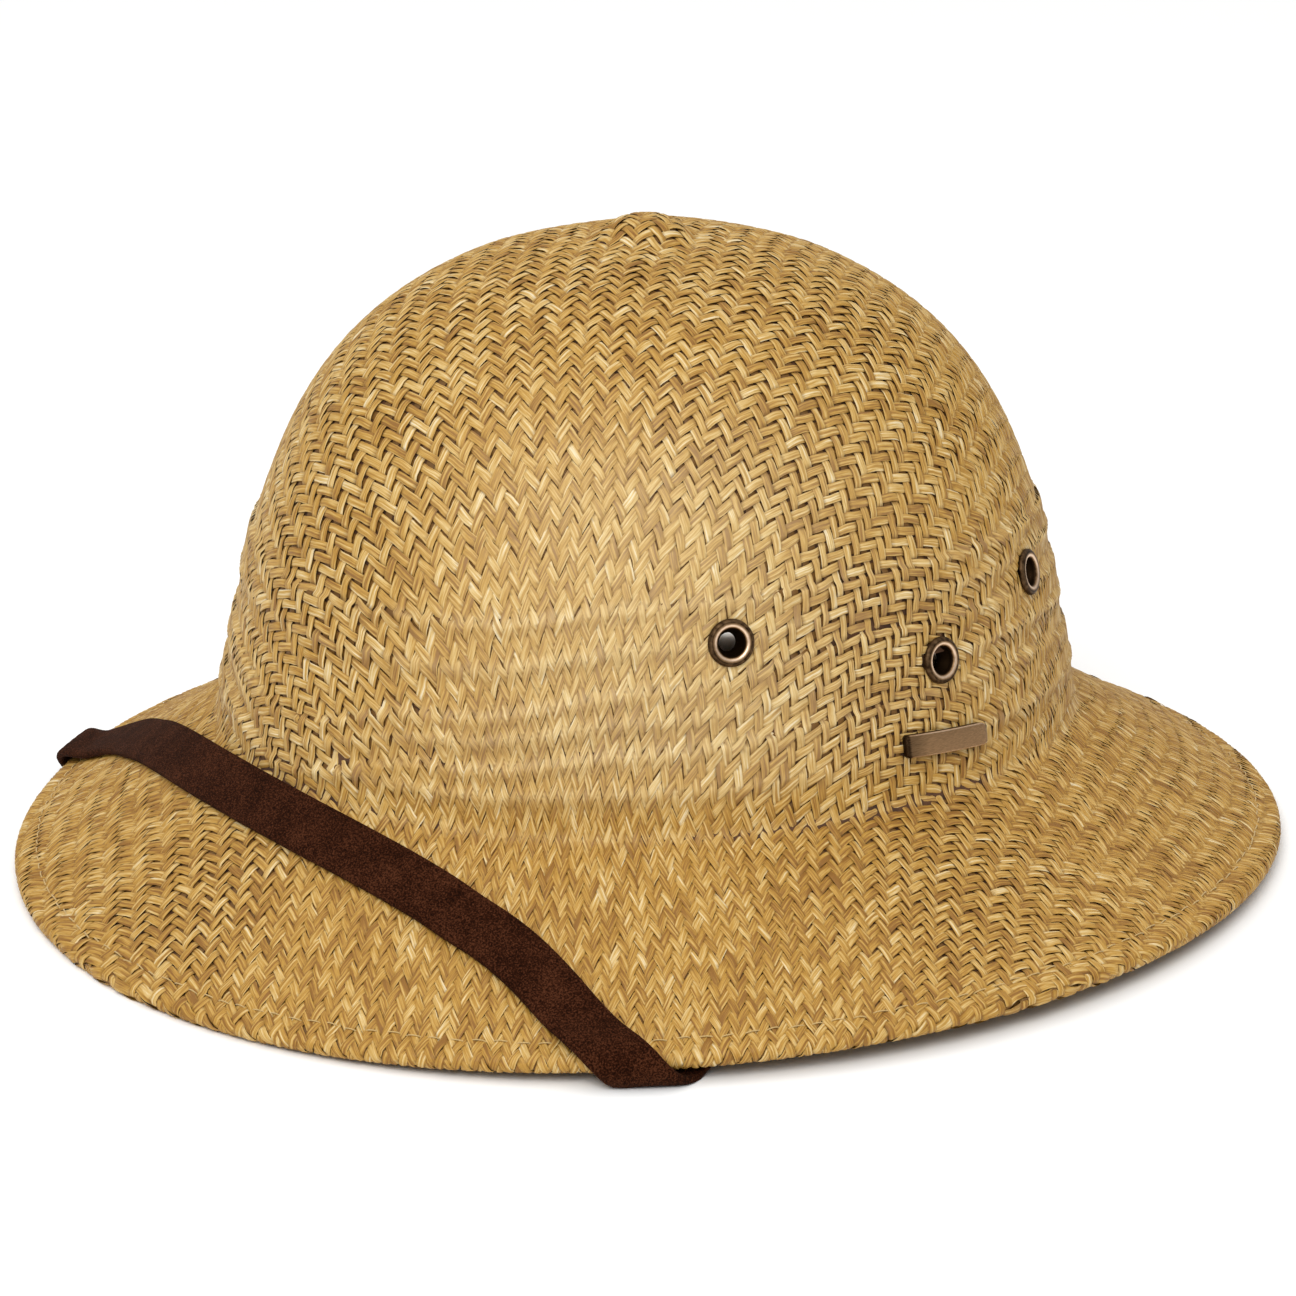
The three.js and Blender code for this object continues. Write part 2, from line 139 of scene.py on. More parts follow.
# Half of the strap's route: azimuth, face of the shell, share of the brim or of the crown's height
STRAP_ROUTE = (
    (0, "over", 0.12), (10, "over", 0.13), (20, "over", 0.168), (28, "over", 0.228),
    (34, "over", 0.3), (38, "over", 0.37), (42, "over", 0.45), (45, "over", 0.535),
    (48, "over", 0.655), (51, "over", 0.81), (54, "over", 0.97), (58.5, "under", 0.97),
    (64, "under", 0.69), (71, "under", 0.41), (80, "under", 0.16), (90.5, "under", 0),
    (99, "inside", 0.07), (107, "inside", 0.14),
)

# Lanes across the strap, as shares of its half width, and how far the edge is rounded off there
STRAP_LANES = (-1, -0.985, -0.93, -0.8, -0.6, -0.35, 0, 0.35, 0.6, 0.8, 0.93, 0.985, 1)
STRAP_ROUNDING = {1: 0.75 * MM, 0.985: 0.45 * MM, 0.93: 0.16 * MM, 0.8: 0.03 * MM}

# Distances over which the strap's clearance changes: before the rim, past it, and on both sides
# of the crown's foot; and how far behind the hem's depth its extra thickness has faded
RIM_NEARED, RIM_LEFT, FOOT_PASSED = (-12 * MM, -1 * MM), (8 * MM, 24 * MM), (4 * MM, 14 * MM)
HEM_FADE = 8 * MM

# Rings of a hem stitch, and sides of its thread
STITCH_POINTS, THREAD_SIDES = 7, 6

# Softboxes: name, azimuth and elevation in degrees, distance, diameter and watts
SOFTBOXES = (("key_softbox", 48, 40, 2.0, 1.2, 20), ("fill_softbox", -25, 35, 2.4, 1.6, 4))
SCRIM_ANGLE, SCRIM_STRENGTH, STUDIO_STRENGTH = 100, 1.3, 0.5
LIGHTS_AIM, FLOOR_REACH, FLOOR_DROP = (0, 0, 0.08), 4, 0.1 * MM

# The camera looks at the middle of the crown's foot, and its frame is shifted
CAMERA_AZIMUTH, CAMERA_ELEVATION, CAMERA_ROLL, CAMERA_DISTANCE = 55.87, 18.56, 0.42, 1.327
CAMERA_LENS, CAMERA_SENSOR, CAMERA_SHIFT = 152.24, 36, (0.0045, 0.0393)


def to_linear(hex_colour):
    """Linear RGB of an sRGB hex colour."""
    parts = [int(hex_colour[i:i + 2], 16) / 255 for i in (1, 3, 5)]
    return tuple(c / 12.92 if c <= 0.04045 else ((c + 0.055) / 1.055) ** 2.4 for c in parts)


def length(name, description, millimetres):
    return FloatProperty(name=name, description=description, default=millimetres * MM, unit="LENGTH",
                         precision=5)


def number(name, description, default):
    return FloatProperty(name=name, description=description, default=default)


def colour(name, description, hex_colour):
    return FloatVectorProperty(name=name, description=description, subtype="COLOR", size=3,
                               min=0, max=1, default=to_linear(hex_colour))


class HatSizes(bpy.types.PropertyGroup):
    """Shape of the crown, the brim and the mat's relief."""
    crown_half_width: length("Crown half width", "Half width of the crown's foot", 95.7)
    crown_front: length("Crown front", "Reach of the crown's foot to the front", 102.3)
    crown_back: length("Crown back", "Reach of the crown's foot to the back", 106.2)
    crown_squareness: number("Crown squareness", "Exponent of the crown's oval", 2.16)
    rim_half_width: length("Rim half width", "Half width over the brim", 150.5)
    rim_front: length("Rim front", "Reach of the rim to the front", 152.1)
    rim_back: length("Rim back", "Reach of the rim to the back", 157.2)
    rim_squareness: number("Rim squareness", "Exponent of the rim's oval", 2.03)
    crown_height: length("Crown height", "Height from the crown's foot to its apex", 115.4)
    crown_shoulder: number("Crown shoulder", "Exponent of the crown's shoulder", 3)
    crown_roundness: number("Crown roundness", "Root of the crown's section", 2.09)
    crown_taper: number("Crown taper", "How far the crown leans in on its way up", 0.256)
    brim_drop: length("Brim drop", "Fall of the brim from the crown to the rim", 30.9)
    brim_front_dip: length("Front dip", "Further fall at the front", 4.9)
    brim_side_lift: length("Side lift", "Fall gained front and back, and lost at the sides", 2.3)
    brim_bow: number("Brim bow", "Bow of the brim's section", 0.13)
    wall: length("Wall", "Thickness of the shell", 2)
    hem_thickness: length("Hem thickness", "Thickness of the folded rim", 3.4)
    hem_depth: length("Hem depth", "Depth of the folded rim", 6.5)
    button_radius: length("Button radius", "Radius of the low button on the apex", 9.8)
    button_height: length("Button height", "Height of the low button", 4.6)
    ridge_height: length("Ridge height", "Height of the crown's soft ridges", 0.8)
    ridge_spread: length("Ridge spread", "How fast a ridge dies away sideways", 18)
    ridge_sink: length("Ridge sink", "How far the crown sinks in between its ridges", 0.65)
    pleat_step: length("Pleat step", "How far a lapped pleat stands out", 0.9)
    pleat_lap: length("Pleat lap", "Height over which a pleat steps out", 1.2)
    crease_height: length("Crease height", "Height of the finer creases", 0.6)
    fold_height: length("Fold height", "Height of the fold at the crown's foot", 0.35)
    hem_bulge: length("Hem bulge", "How far the rim swells beyond its stitches", 0.35)
    hem_groove: length("Hem groove", "Depth to which the stitches pull the mat in", 0.4)
    rest_pitch: number("Rest pitch", "Degrees that the hat leans as it stands", 1.807)
    rest_height: length("Rest height", "Height of the crown's foot above the floor", 35.63)
    rest_shift: length("Rest shift", "Shift along Y as the hat stands", -1.509)


class WeaveSizes(bpy.types.PropertyGroup):
    """Splints of the twill mat."""
    pitch_lengthwise: length("Lengthwise pitch", "Spacing of the splints that run front to back", 2.5)
    pitch_crosswise: length("Crosswise pitch", "Spacing of the splints that run side to side", 2.5)
    width_lengthwise: length("Lengthwise width", "Width of a splint that runs front to back", 2.5)
    width_crosswise: length("Crosswise width", "Width of a splint that runs side to side", 2.2)
    rise: length("Rise", "How far a splint rises over and dips under", 0.29)
    cup: length("Cup", "How far a splint's edges curl down", 0.2)
    wander: length("Wander", "How far a splint strays from its line", 0.24)
    turn: number("Turn", "Degrees that the mat is turned on the hat", 3)
    step: length("Step", "Length of one facet along a splint", 1.05)


class TrimSizes(bpy.types.PropertyGroup):
    """Eyelets, plate, strap and stitches."""
    eyelet_flange: length("Eyelet flange", "Outer radius of an eyelet", 5.5)
    eyelet_bore: length("Eyelet bore", "Radius of an eyelet's hole", 3.2)
    eyelet_throat: length("Eyelet throat", "Radius of the hole at the inner flange", 2.2)
    eyelet_barrel: length("Eyelet barrel", "Radius of the barrel through the wall", 3.7)
    eyelet_rise: length("Eyelet rise", "Height of the rolled flange", 1.1)
    eyelet_back: length("Eyelet back", "Radius of the flange inside the hat", 5)
    plate_length: length("Plate length", "Length of the brass plate", 23.8)
    plate_height: length("Plate height", "Height of the brass plate", 5.3)
    plate_thickness: length("Plate thickness", "Thickness of the brass plate", 1.6)
    gap: length("Gap", "Clearance between separate pieces", 0.3)
    strap_width: length("Strap width", "Width of the chin strap", 13.5)
    strap_thickness: length("Strap thickness", "Thickness of the chin strap", 2)
    strap_gap: length("Strap gap", "Clearance of the strap over the brim", 0.4)
    strap_rim_slack: length("Rim slack", "Clearance of the strap round the rim", 2)
    strap_under_slack: length("Under slack", "Clearance of the strap under the brim", 0.75)
    strap_crease_slack: length("Crease slack", "Further clearance under the crown's foot", 0.7)
    stitch_length: length("Stitch length", "Length of a hem stitch", 3.6)
    stitch_pitch: length("Stitch pitch", "Distance from one hem stitch to the next", 5)
    thread_radius: length("Thread radius", "Radius of the hem thread", 0.17)


class HatColours(bpy.types.PropertyGroup):
    """Colours of straw, leather and brass."""
    straw_pale: colour("Pale straw", "Palest splints", "#CAAA6A")
    straw_mid: colour("Mid straw", "Most splints", "#B18636")
    straw_gold: colour("Golden straw", "Darkest splints", "#855A1E")
    # Also the colour of the painted sheen and highlights, besides the palest bleached fibres
    straw_bleached_and_sheen: colour("Bleached straw", "Veil on the flanks and along creases", "#F2E0B8")
    # Dark colour of painted shade, shown on the core in the gaps between splints
    straw_gap_shade: colour("Deep straw", "Straw in the gaps and where splints dip", "#4A2C12")
    suede: colour("Suede", "Nap of the strap", "#291005")
    suede_pale: colour("Brushed suede", "Nap brushed the other way", "#4C2A19")
    brass_dark: colour("Antiqued brass", "Darkened brass", "#2E2013")
    brass_worn: colour("Worn brass", "Brass where the dark finish has rubbed off", "#9C7B58")
    # The brightest rub is partly wear and partly painted highlight on the eyelets' crests and the plate's
    # edges
    brass_bright: colour("Bright brass", "Brass of the most rubbed crests", "#E6C9AC")
    thread: colour("Thread", "Hem thread", "#C6A76C")
    floor: colour("Floor", "Paper floor", "#FBFBFA")


def hat():
    return bpy.context.scene.sun_hat


def weave():
    return bpy.context.scene.sun_hat_weave


def trim():
    return bpy.context.scene.sun_hat_trim


def palette():
    return bpy.context.scene.sun_hat_colours


def smooth(x, low, high):
    t = np.clip((x - low) / (high - low), 0, 1)
    return t * t * (3 - 2 * t)


def bell(x, middle, width):
    return np.exp(-(((x - middle) / width) ** 2))


def unit(v):
    return v / np.linalg.norm(v, axis=-1, keepdims=True)


def run_along(points):
    """Distance walked along points from the first one."""
    steps = np.linalg.norm(np.diff(points, axis=-2), axis=-1)
    return np.concatenate([np.zeros(steps.shape[:-1] + (1,)), np.cumsum(steps, axis=-1)], axis=-1)


def seat(points):
    """Sets points of the hat's own frame down on the floor."""
    h = hat()
    c, s = math.cos(h.rest_pitch * DEGREE), math.sin(h.rest_pitch * DEGREE)
    x, y, z = np.moveaxis(points, -1, 0)
    return np.stack([x, y * c + z * s + h.rest_shift, z * c - y * s + h.rest_height], axis=-1)


def oval(azimuth, half_width, front, back, squareness):
    c, s = np.cos(azimuth), np.sin(azimuth)
    r = (np.abs(c) ** squareness + np.abs(s) ** squareness) ** (-1 / squareness)
    return half_width * r * s, -np.where(c > 0, front, back) * r * c


def skin(azimuth, girth):
    """Plain outer surface. Girth runs 0 at the apex, 1 at the crown's foot, 2 at the rim."""
    h = hat()
    azimuth, girth = np.broadcast_arrays(azimuth, girth)
    foot_x, foot_y = oval(azimuth, h.crown_half_width, h.crown_front, h.crown_back, h.crown_squareness)
    edge_x, edge_y = oval(azimuth, h.rim_half_width, h.rim_front, h.rim_back, h.rim_squareness)
    u = np.cos(np.clip(girth, 0, 1) * math.pi / 2)
    s = np.maximum(girth - 1, 0)
    share = (1 - u ** h.crown_shoulder) ** (1 / h.crown_roundness) - h.crown_taper * u * (1 - u)
    x = foot_x * share + s * (edge_x - foot_x)
    y = foot_y * share + s * (edge_y - foot_y)
    button = h.button_height * np.exp(-((np.hypot(x, y) / h.button_radius) ** 4))
    drop = h.brim_drop + h.brim_front_dip * np.cos(azimuth) + h.brim_side_lift * np.cos(2 * azimuth)
    fall = (1 + h.brim_bow) * s - h.brim_bow * s * s
    return np.stack([x, y, h.crown_height * u + button - drop * fall], axis=-1)


def directions(azimuth, girth):
    """Unit directions of the plain surface: outward, and along the section towards the rim."""
    step = 0.012
    azimuth, girth = np.broadcast_arrays(azimuth, girth)
    mid = np.clip(girth, step, 2 - step)
    along = unit(skin(azimuth, mid + step) - skin(azimuth, mid - step))
    out = unit(np.cross(along, skin(azimuth + step, mid) - skin(azimuth - step, mid)))
    return np.where((girth < step)[..., None], (0.0, 0.0, 1.0), out), along


def girth_at_height(height):
    return np.arccos(np.clip(height / hat().crown_height, 0, 1)) * 2 / math.pi


def wrapped(azimuth):
    return np.arctan2(np.sin(azimuth), np.cos(azimuth))


def pleat_edge(row, azimuth):
    """Height of a pleat's upper edge at an azimuth."""
    a = np.abs(wrapped(azimuth)) / DEGREE / 30
    i = np.minimum(a.astype(int), 5)
    low, high = np.take(row, i), np.take(row, i + 1)
    return hat().crown_height * (low + (high - low) * smooth(a, i, i + 1))


def pleat_relief(azimuth, height):
    h = hat()
    edges = [pleat_edge(row, azimuth) for row in PLEATS]
    total = 0
    for edge, below in zip(edges, edges[1:] + [0]):
        step = 1 - smooth(height, edge - h.pleat_lap / 2, edge + h.pleat_lap / 2)
        total = total + h.pleat_step * step * smooth(height, below - h.pleat_lap / 2, edge)
    return total


def crease_lines(azimuth, height, rows, width):
    """Strength of thin lines along pleats or creases, strongest on the quarters."""
    total = 0
    for row in rows:
        total = total + bell(height, pleat_edge(row, azimuth), width)
    return total * (0.45 + 0.55 * np.abs(np.sin(2 * azimuth)))


def ridge_relief(azimuth, height, reach):
    h = hat()
    fade = smooth(height, RIDGES_START * h.crown_height, RIDGES_FULL * h.crown_height)
    fade = fade * smooth(reach, h.button_radius, 3 * h.button_radius)
    total = 0
    for ridge in RIDGES:
        away = np.abs(wrapped(azimuth - ridge * DEGREE)) * reach
        total = total + h.ridge_height * np.exp(-away / h.ridge_spread)
    return (total - h.ridge_sink) * fade


def eyelet_centres():
    """Azimuth and girth of the six eyelets, in the order of EYELETS, wearer's left first."""
    return [(side * azimuth * DEGREE, float(girth_at_height(share * hat().crown_height)))
            for azimuth, share in EYELETS for side in (1, -1)]


def level(girth):
    """Height of the plain crown at a girth."""
    return hat().crown_height * np.cos(np.clip(girth, 0, 1) * math.pi / 2)


def relief(azimuth, girth):
    """Relief of the moulded crown; an eyelet presses the straw flat around itself."""
    h, flange = hat(), trim().eyelet_flange
    here, height = skin(azimuth, girth), level(girth)
    value = pleat_relief(azimuth, height)
    value = value + ridge_relief(azimuth, height, np.hypot(here[..., 0], here[..., 1]))
    value = value + h.crease_height * crease_lines(azimuth, height, CREASES, CREASE_WIDTH)
    for centre in eyelet_centres():
        away = np.linalg.norm(here - skin(*centre), axis=-1)
        pressed = 1 - smooth(away, flange + PRESS_FLAT, flange + PRESS_END)
        value = value + pressed * (h.pleat_step / 2 - value)
    return np.where(girth < 1, value, 0)


class Section:
    """Arc lengths down the hat's section at every azimuth, for finding the girth at a distance."""
    sides, steps, stride = 240, 800, 0.5 * MM

    def __init__(self):
        self.azimuths = np.linspace(0, 2 * math.pi, self.sides + 1)
        girths = np.linspace(0, 2, self.steps + 1)
        reach = run_along(skin(self.azimuths[:, None], girths[None, :]))
        self.feet, self.rims = reach[:, self.steps // 2], reach[:, self.steps]
        self.count = int(self.rims.max() / self.stride) + 2
        grid = np.arange(self.count) * self.stride
        self.girths = np.stack([np.interp(grid, row, girths) for row in reach])

    def foot(self, azimuth):
        return np.interp(azimuth % (2 * math.pi), self.azimuths, self.feet)

    def rim(self, azimuth):
        return np.interp(azimuth % (2 * math.pi), self.azimuths, self.rims)

    def girth(self, azimuth, reach):
        a = azimuth % (2 * math.pi) / (2 * math.pi) * self.sides
        r = np.clip(reach / self.stride, 0, self.count - 1.001)
        i, j = np.minimum(a.astype(int), self.sides - 1), r.astype(int)
        s, t = a - i, r - j
        g = self.girths
        return ((1 - s) * ((1 - t) * g[i, j] + t * g[i, j + 1])
                + s * ((1 - t) * g[i + 1, j] + t * g[i + 1, j + 1]))


def rolled_rim(azimuth, out, along, radius, turn):
    """Point on a circle round the folded rim, at an angle from its top."""
    edge = hat().hem_thickness / 2
    return (skin(azimuth, 2.0) + along * (radius * np.sin(turn) - edge)[..., None]
            + out * (radius * np.cos(turn) - edge)[..., None])


def on_shell(section, azimuth, reach, lift, moulded=True):
    """Point of the shell's outside at a distance from the apex, carried on round the folded rim."""
    h = hat()
    edge = h.hem_thickness / 2
    start = section.rim(azimuth) - edge
    past = np.maximum(reach - start, 0)
    turn = np.clip(past / edge, 0, math.pi)
    back = np.maximum(past - math.pi * edge, 0)
    girth = section.girth(azimuth, np.where(past > 0, start - back, reach))
    girth = np.where((past > 0) & (back == 0), 2, girth)
    out, along = directions(azimuth, girth)
    rise = 0
    if moulded:
        to_rim = section.rim(azimuth) - reach
        rise = relief(azimuth, girth) + h.fold_height * bell(reach, section.foot(azimuth), FOLD_WIDTH)
        rise = rise - h.hem_groove * bell(to_rim, h.hem_depth, GROOVE_WIDTH)
        rise = rise + h.hem_bulge * (1 - smooth(to_rim, BULGE_FULL, h.hem_depth - GROOVE_WIDTH))
        lift = lift + h.hem_bulge * (to_rim < edge)
        rise = np.where(to_rim < edge, 0, rise)
    flat = skin(azimuth, girth) + out * (lift + rise)[..., None]
    rolled = rolled_rim(azimuth, out, along, edge + lift, turn)
    under = skin(azimuth, girth) - out * (h.hem_thickness + lift)[..., None]
    past, back, turn = past[..., None], back[..., None], turn[..., None]
    normal = out * np.cos(turn) + along * np.sin(turn)
    return np.where(past <= 0, flat, np.where(back <= 0, rolled, under)), normal


def settle(across, forward):
    """Azimuth and distance from the apex of a point of the flat mat."""
    theta, radius = np.arctan2(across, forward), np.hypot(across, forward)
    psi, reach = theta.copy(), radius.copy()
    for _ in range(12):
        mm = reach / MM
        gather = np.interp(mm, MAT_REACH, MAT_GATHER)
        pinch = np.interp(mm, MAT_REACH, MAT_PINCH)
        lean = np.interp(mm, MAT_REACH, MAT_LEAN)
        shrink = np.interp(mm, MAT_REACH, MAT_SHRINK) * MM
        miss = (psi - gather / 4 * np.sin(4 * psi) + pinch / 8 * np.sin(8 * psi)
                + lean / 2 * np.sin(2 * psi) - theta)
        slope = 1 - gather * np.cos(4 * psi) + pinch * np.cos(8 * psi) + lean * np.cos(2 * psi)
        psi = psi - miss / slope
        reach = radius + shrink * np.sin(2 * psi) ** 2
    return psi + weave().turn * DEGREE, reach


def add_object(name, data):
    made = bpy.data.objects.new(name, data)
    bpy.context.scene.collection.objects.link(made)
    return made


def mesh_piece(name, points, faces, material, uvs=None, tones=None):
    """A smooth mesh object of seated points; uvs and tones are per point."""
    mesh = bpy.data.meshes.new(name)
    mesh.from_pydata(points.tolist(), [], faces if isinstance(faces, list) else faces.tolist())
    if uvs is not None:
        corners = np.empty(len(mesh.loops), dtype=np.int32)
        mesh.loops.foreach_get("vertex_index", corners)
        layer = mesh.uv_layers.new(name="UVMap")
        layer.uv.foreach_set("vector", uvs[corners].astype(np.float32).ravel())
    if tones is not None:
        layer = mesh.color_attributes.new(name="tone", type="FLOAT_COLOR", domain="POINT")
        layer.data.foreach_set("color", tones.astype(np.float32).ravel())
    mesh.polygons.foreach_set("use_smooth", np.full(len(mesh.polygons), True))
    mesh.materials.append(material)
    mesh.update()
    return add_object(name, mesh)


def dress(piece, node):
    """Says what a piece rides on, and hides the CAD node that it stands for."""
    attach(piece, "root")
    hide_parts(node)


def add_node(tree, kind, inputs=(), **settings):
    """Adds a shader node. Settings name attributes or sockets; inputs pair a socket with what
    feeds it, another node's output or a fixed value.
    """
    node = tree.nodes.new(kind)
    for key, value in settings.items():
        if hasattr(node, key):
            setattr(node, key, value)
        else:
            node.inputs[key.replace("_", " ")].default_value = value
    for socket, source in inputs:
        if isinstance(source, bpy.types.NodeSocket):
            tree.links.new(source, node.inputs[socket])
        else:
            node.inputs[socket].default_value = source
    return node


def point_tone(tree):
    """Red, green and blue of the tone that a piece's points carry."""
    tone = add_node(tree, "ShaderNodeVertexColor", layer_name="tone")
    return add_node(tree, "ShaderNodeSeparateColor", [(0, tone.outputs[0])]).outputs


def noise(tree, source, scales, **settings):
    """Noise over a position, with its scale per millimetre along each axis."""
    drawn = add_node(tree, "ShaderNodeMapping", [(0, source), ("Scale", [scale / MM for scale in scales])])
    return add_node(tree, "ShaderNodeTexNoise", [(0, drawn.outputs[0])], Scale=1, **settings).outputs[0]


def object_noise(tree, per_mm, **settings):
    """Even noise in a piece's own space, with its scale per millimetre."""
    place = add_node(tree, "ShaderNodeTexCoord").outputs["Object"]
    return add_node(tree, "ShaderNodeTexNoise", [(0, place)], Scale=per_mm / MM, **settings).outputs[0]


def multiply_add(tree, value, factor, addend):
    return add_node(tree, "ShaderNodeMath", [(0, value), (1, factor), (2, addend)],
                    operation="MULTIPLY_ADD").outputs[0]


def mix(tree, share, first, second, blend_type="MIX"):
    return add_node(tree, "ShaderNodeMix", [(0, share), (6, first), (7, second)], data_type="RGBA",
                    blend_type=blend_type).outputs[2]


def bump(tree, height, strength, millimetres):
    return add_node(tree, "ShaderNodeBump", [("Height", height)], Strength=strength,
                    Distance=millimetres * MM).outputs[0]


def colour_ramp(tree, source, *stops):
    """Colours picked by a value; stops are pairs of position and colour."""
    node = add_node(tree, "ShaderNodeValToRGB", [(0, source)])
    elements = node.color_ramp.elements
    while len(elements) < len(stops):
        elements.new(0.5)
    for element, (position, rgb) in zip(elements, stops):
        element.position = position
        element.color = (*rgb, 1)
    return node.outputs[0]


def shade(rgb, factor):
    return [c * factor for c in rgb]


def new_material(name):
    material = bpy.data.materials.new(name)
    material.use_nodes = True
    material.node_tree.nodes.clear()
    return material, material.node_tree


def finish_material(tree, surface, inputs):
    shader = add_node(tree, "ShaderNodeBsdfPrincipled", inputs, **surface)
    add_node(tree, "ShaderNodeOutputMaterial", [("Surface", shader.outputs[0])])


def straw_material(name, gold):
    """Split straw, bleached and lightly varnished: fine fibres run down each splint.

    gold shifts the splints from pale to golden.
    """
    material, tree = new_material(name)
    colours = palette()
    own, dip_shade, painted_sheen = point_tone(tree)
    uv = add_node(tree, "ShaderNodeUVMap", uv_map="UVMap").outputs[0]
    # Fibres some 0.7 mm apart and 11 mm long with finer ones among them, and streaks 2 mm apart
    fibres = noise(tree, uv, (0.09, 1.5, 0), Detail=4, Roughness=0.6)
    streaks = noise(tree, uv, (0.06, 0.45, 0), Detail=3)
    depth = multiply_add(tree, multiply_add(tree, streaks, 1, own), 0.5, gold)
    straw = colour_ramp(tree, multiply_add(tree, fibres, 2.6, depth),
                        (0, shade(colours.straw_bleached_and_sheen, 0.8)), (0.3, colours.straw_pale),
                        (0.62, colours.straw_mid), (1, colours.straw_gold))
    # A pale veil of painted sheen and highlights, and deeper gold as painted shade where a splint dips and
    # below pleats and creases
    painted_veil = mix(tree, 1, straw, (*shade(colours.straw_bleached_and_sheen, 0.22), 1), "SCREEN")
    straw = mix(tree, painted_sheen, straw, painted_veil)
    straw = mix(tree, dip_shade, straw, (*shade(colours.straw_gold, 0.6), 1))
    finish_material(tree, {"Roughness": 0.55, "Specular_IOR_Level": 0.35, "IOR": 1.5},
                    [("Base Color", straw), ("Normal", bump(tree, fibres, 0.45, 0.12))])
    return material


def core_material():
    """Core that fills the mat's wall between its outer and inner splints, coloured dark as painted shade
    where it shows between the splints.
    """
    material, tree = new_material("core_gap_shade")
    deep = palette().straw_gap_shade
    cloud = object_noise(tree, 0.4, Detail=3)
    straw = colour_ramp(tree, cloud, (0.3, shade(deep, 0.6)), (0.7, shade(deep, 1.5)))
    finish_material(tree, {"Roughness": 0.8},
                    [("Base Color", straw), ("Normal", bump(tree, cloud, 0.3, 0.2))])
    return material


def suede_material():
    """Cowhide split, napped: a dull surface, mottled where the nap lies one way or the other."""
    material, tree = new_material("suede_napped")
    colours = palette()
    mottle = object_noise(tree, 0.14, Detail=4, Roughness=0.6)
    nap = object_noise(tree, 2.4, Detail=2, Roughness=0.7)
    hide = colour_ramp(tree, multiply_add(tree, mottle, 0.3, nap), (0.49, shade(colours.suede, 0.3)),
                       (0.64, colours.suede), (0.8, colours.suede_pale))
    finish_material(tree, {"Roughness": 0.95, "Specular_IOR_Level": 0.04, "Sheen_Weight": 0.02,
                           "Sheen_Roughness": 0.5, "Sheen_Tint": SUEDE_SHEEN},
                    [("Base Color", hide), ("Normal", bump(tree, nap, 0.6, 0.35))])
    return material


def brass_material(name, grain=(0.9, 0.9, 0.9)):
    """Cast brass, chemically darkened and relieved: dark in the hollows, rubbed bright on the crests, where
    the brightness is partly wear and partly painted highlight.

    grain is the mottling's scale per millimetre along X, Y and Z, drawn out where brass is brushed.
    """
    material, tree = new_material(name)
    colours = palette()
    # The rub tone is partly wear and partly painted highlight
    rubbed = point_tone(tree)[0]
    cloud = noise(tree, add_node(tree, "ShaderNodeTexCoord").outputs["Object"], grain, Detail=4)
    brass = colour_ramp(tree, multiply_add(tree, cloud, 0.4, rubbed), (0.25, colours.brass_dark),
                        (0.65, colours.brass_worn), (1, colours.brass_bright))
    finish_material(tree, {"Metallic": 1.0},
                    [("Base Color", brass), ("Roughness", multiply_add(tree, rubbed, -0.3, 0.6)),
                     ("Normal", bump(tree, cloud, 0.15, 0.1))])
    return material


def thread_material():
    """Cotton thread, two plies laid together."""
    material, tree = new_material("cotton_thread")
    thread = palette().thread
    plies = object_noise(tree, 2, Detail=2)
    cotton = colour_ramp(tree, plies, (0.3, shade(thread, 0.75)), (0.7, thread))
    finish_material(tree, {"Roughness": 0.9, "Sheen_Weight": 0.2},
                    [("Base Color", cotton), ("Normal", bump(tree, plies, 0.4, 0.1))])
    return material


def paper_material():
    """Matt white background paper."""
    material, tree = new_material("paper_matt")
    finish_material(tree, {"Base_Color": (*palette().floor, 1), "Roughness": 0.9}, [])
    return material


def open_holes(points, radius):
    """Marks points inside an eyelet's hole, and moves them out to its edge."""
    inside = np.zeros(points.shape[:-1], dtype=bool)
    points = points.copy()
    for azimuth, girth in eyelet_centres():
        out, _ = directions(azimuth, girth)
        offset = points - skin(azimuth, girth)
        rise = (offset * out).sum(-1, keepdims=True) * out
        flat = offset - rise
        away = np.linalg.norm(flat, axis=-1)
        near = (away < radius) & (np.linalg.norm(offset, axis=-1) < radius + 5 * MM)
        inside |= near
        moved = skin(azimuth, girth) + rise + flat / np.maximum(away, 1e-9)[..., None] * radius
        points = np.where(near[..., None], moved, points)
    return points, inside


def twill(phase):
    """Height of a splint along its length, from -1 under to 1 over, with a float of two."""
    return np.tanh(TWILL_SHARPNESS * np.cos(phase * math.pi / 2)) / math.tanh(TWILL_SHARPNESS)


def slow_noise(rng, count, positions, wavelength):
    """Smooth wobble along each of count splints, about -1 to 1."""
    total = np.zeros((count, len(positions)))
    for scale, size in ((1, 0.6), (0.43, 0.4)):
        phase = rng.uniform(0, 2 * math.pi, (count, 1))
        stretch = rng.uniform(0.8, 1.25, (count, 1))
        total += size * np.sin(positions[None, :] * (2 * math.pi / wavelength / scale) * stretch + phase)
    return total


def zone(azimuth, height, middle, spread, heights):
    """Share of a zone that lies on both flanks of the crown."""
    start, full, fading, end = (MM * h for h in heights)
    share = bell(np.abs(wrapped(azimuth)), middle * DEGREE, spread * DEGREE)
    return share * smooth(height, start, full) * (1 - smooth(height, fading, end))


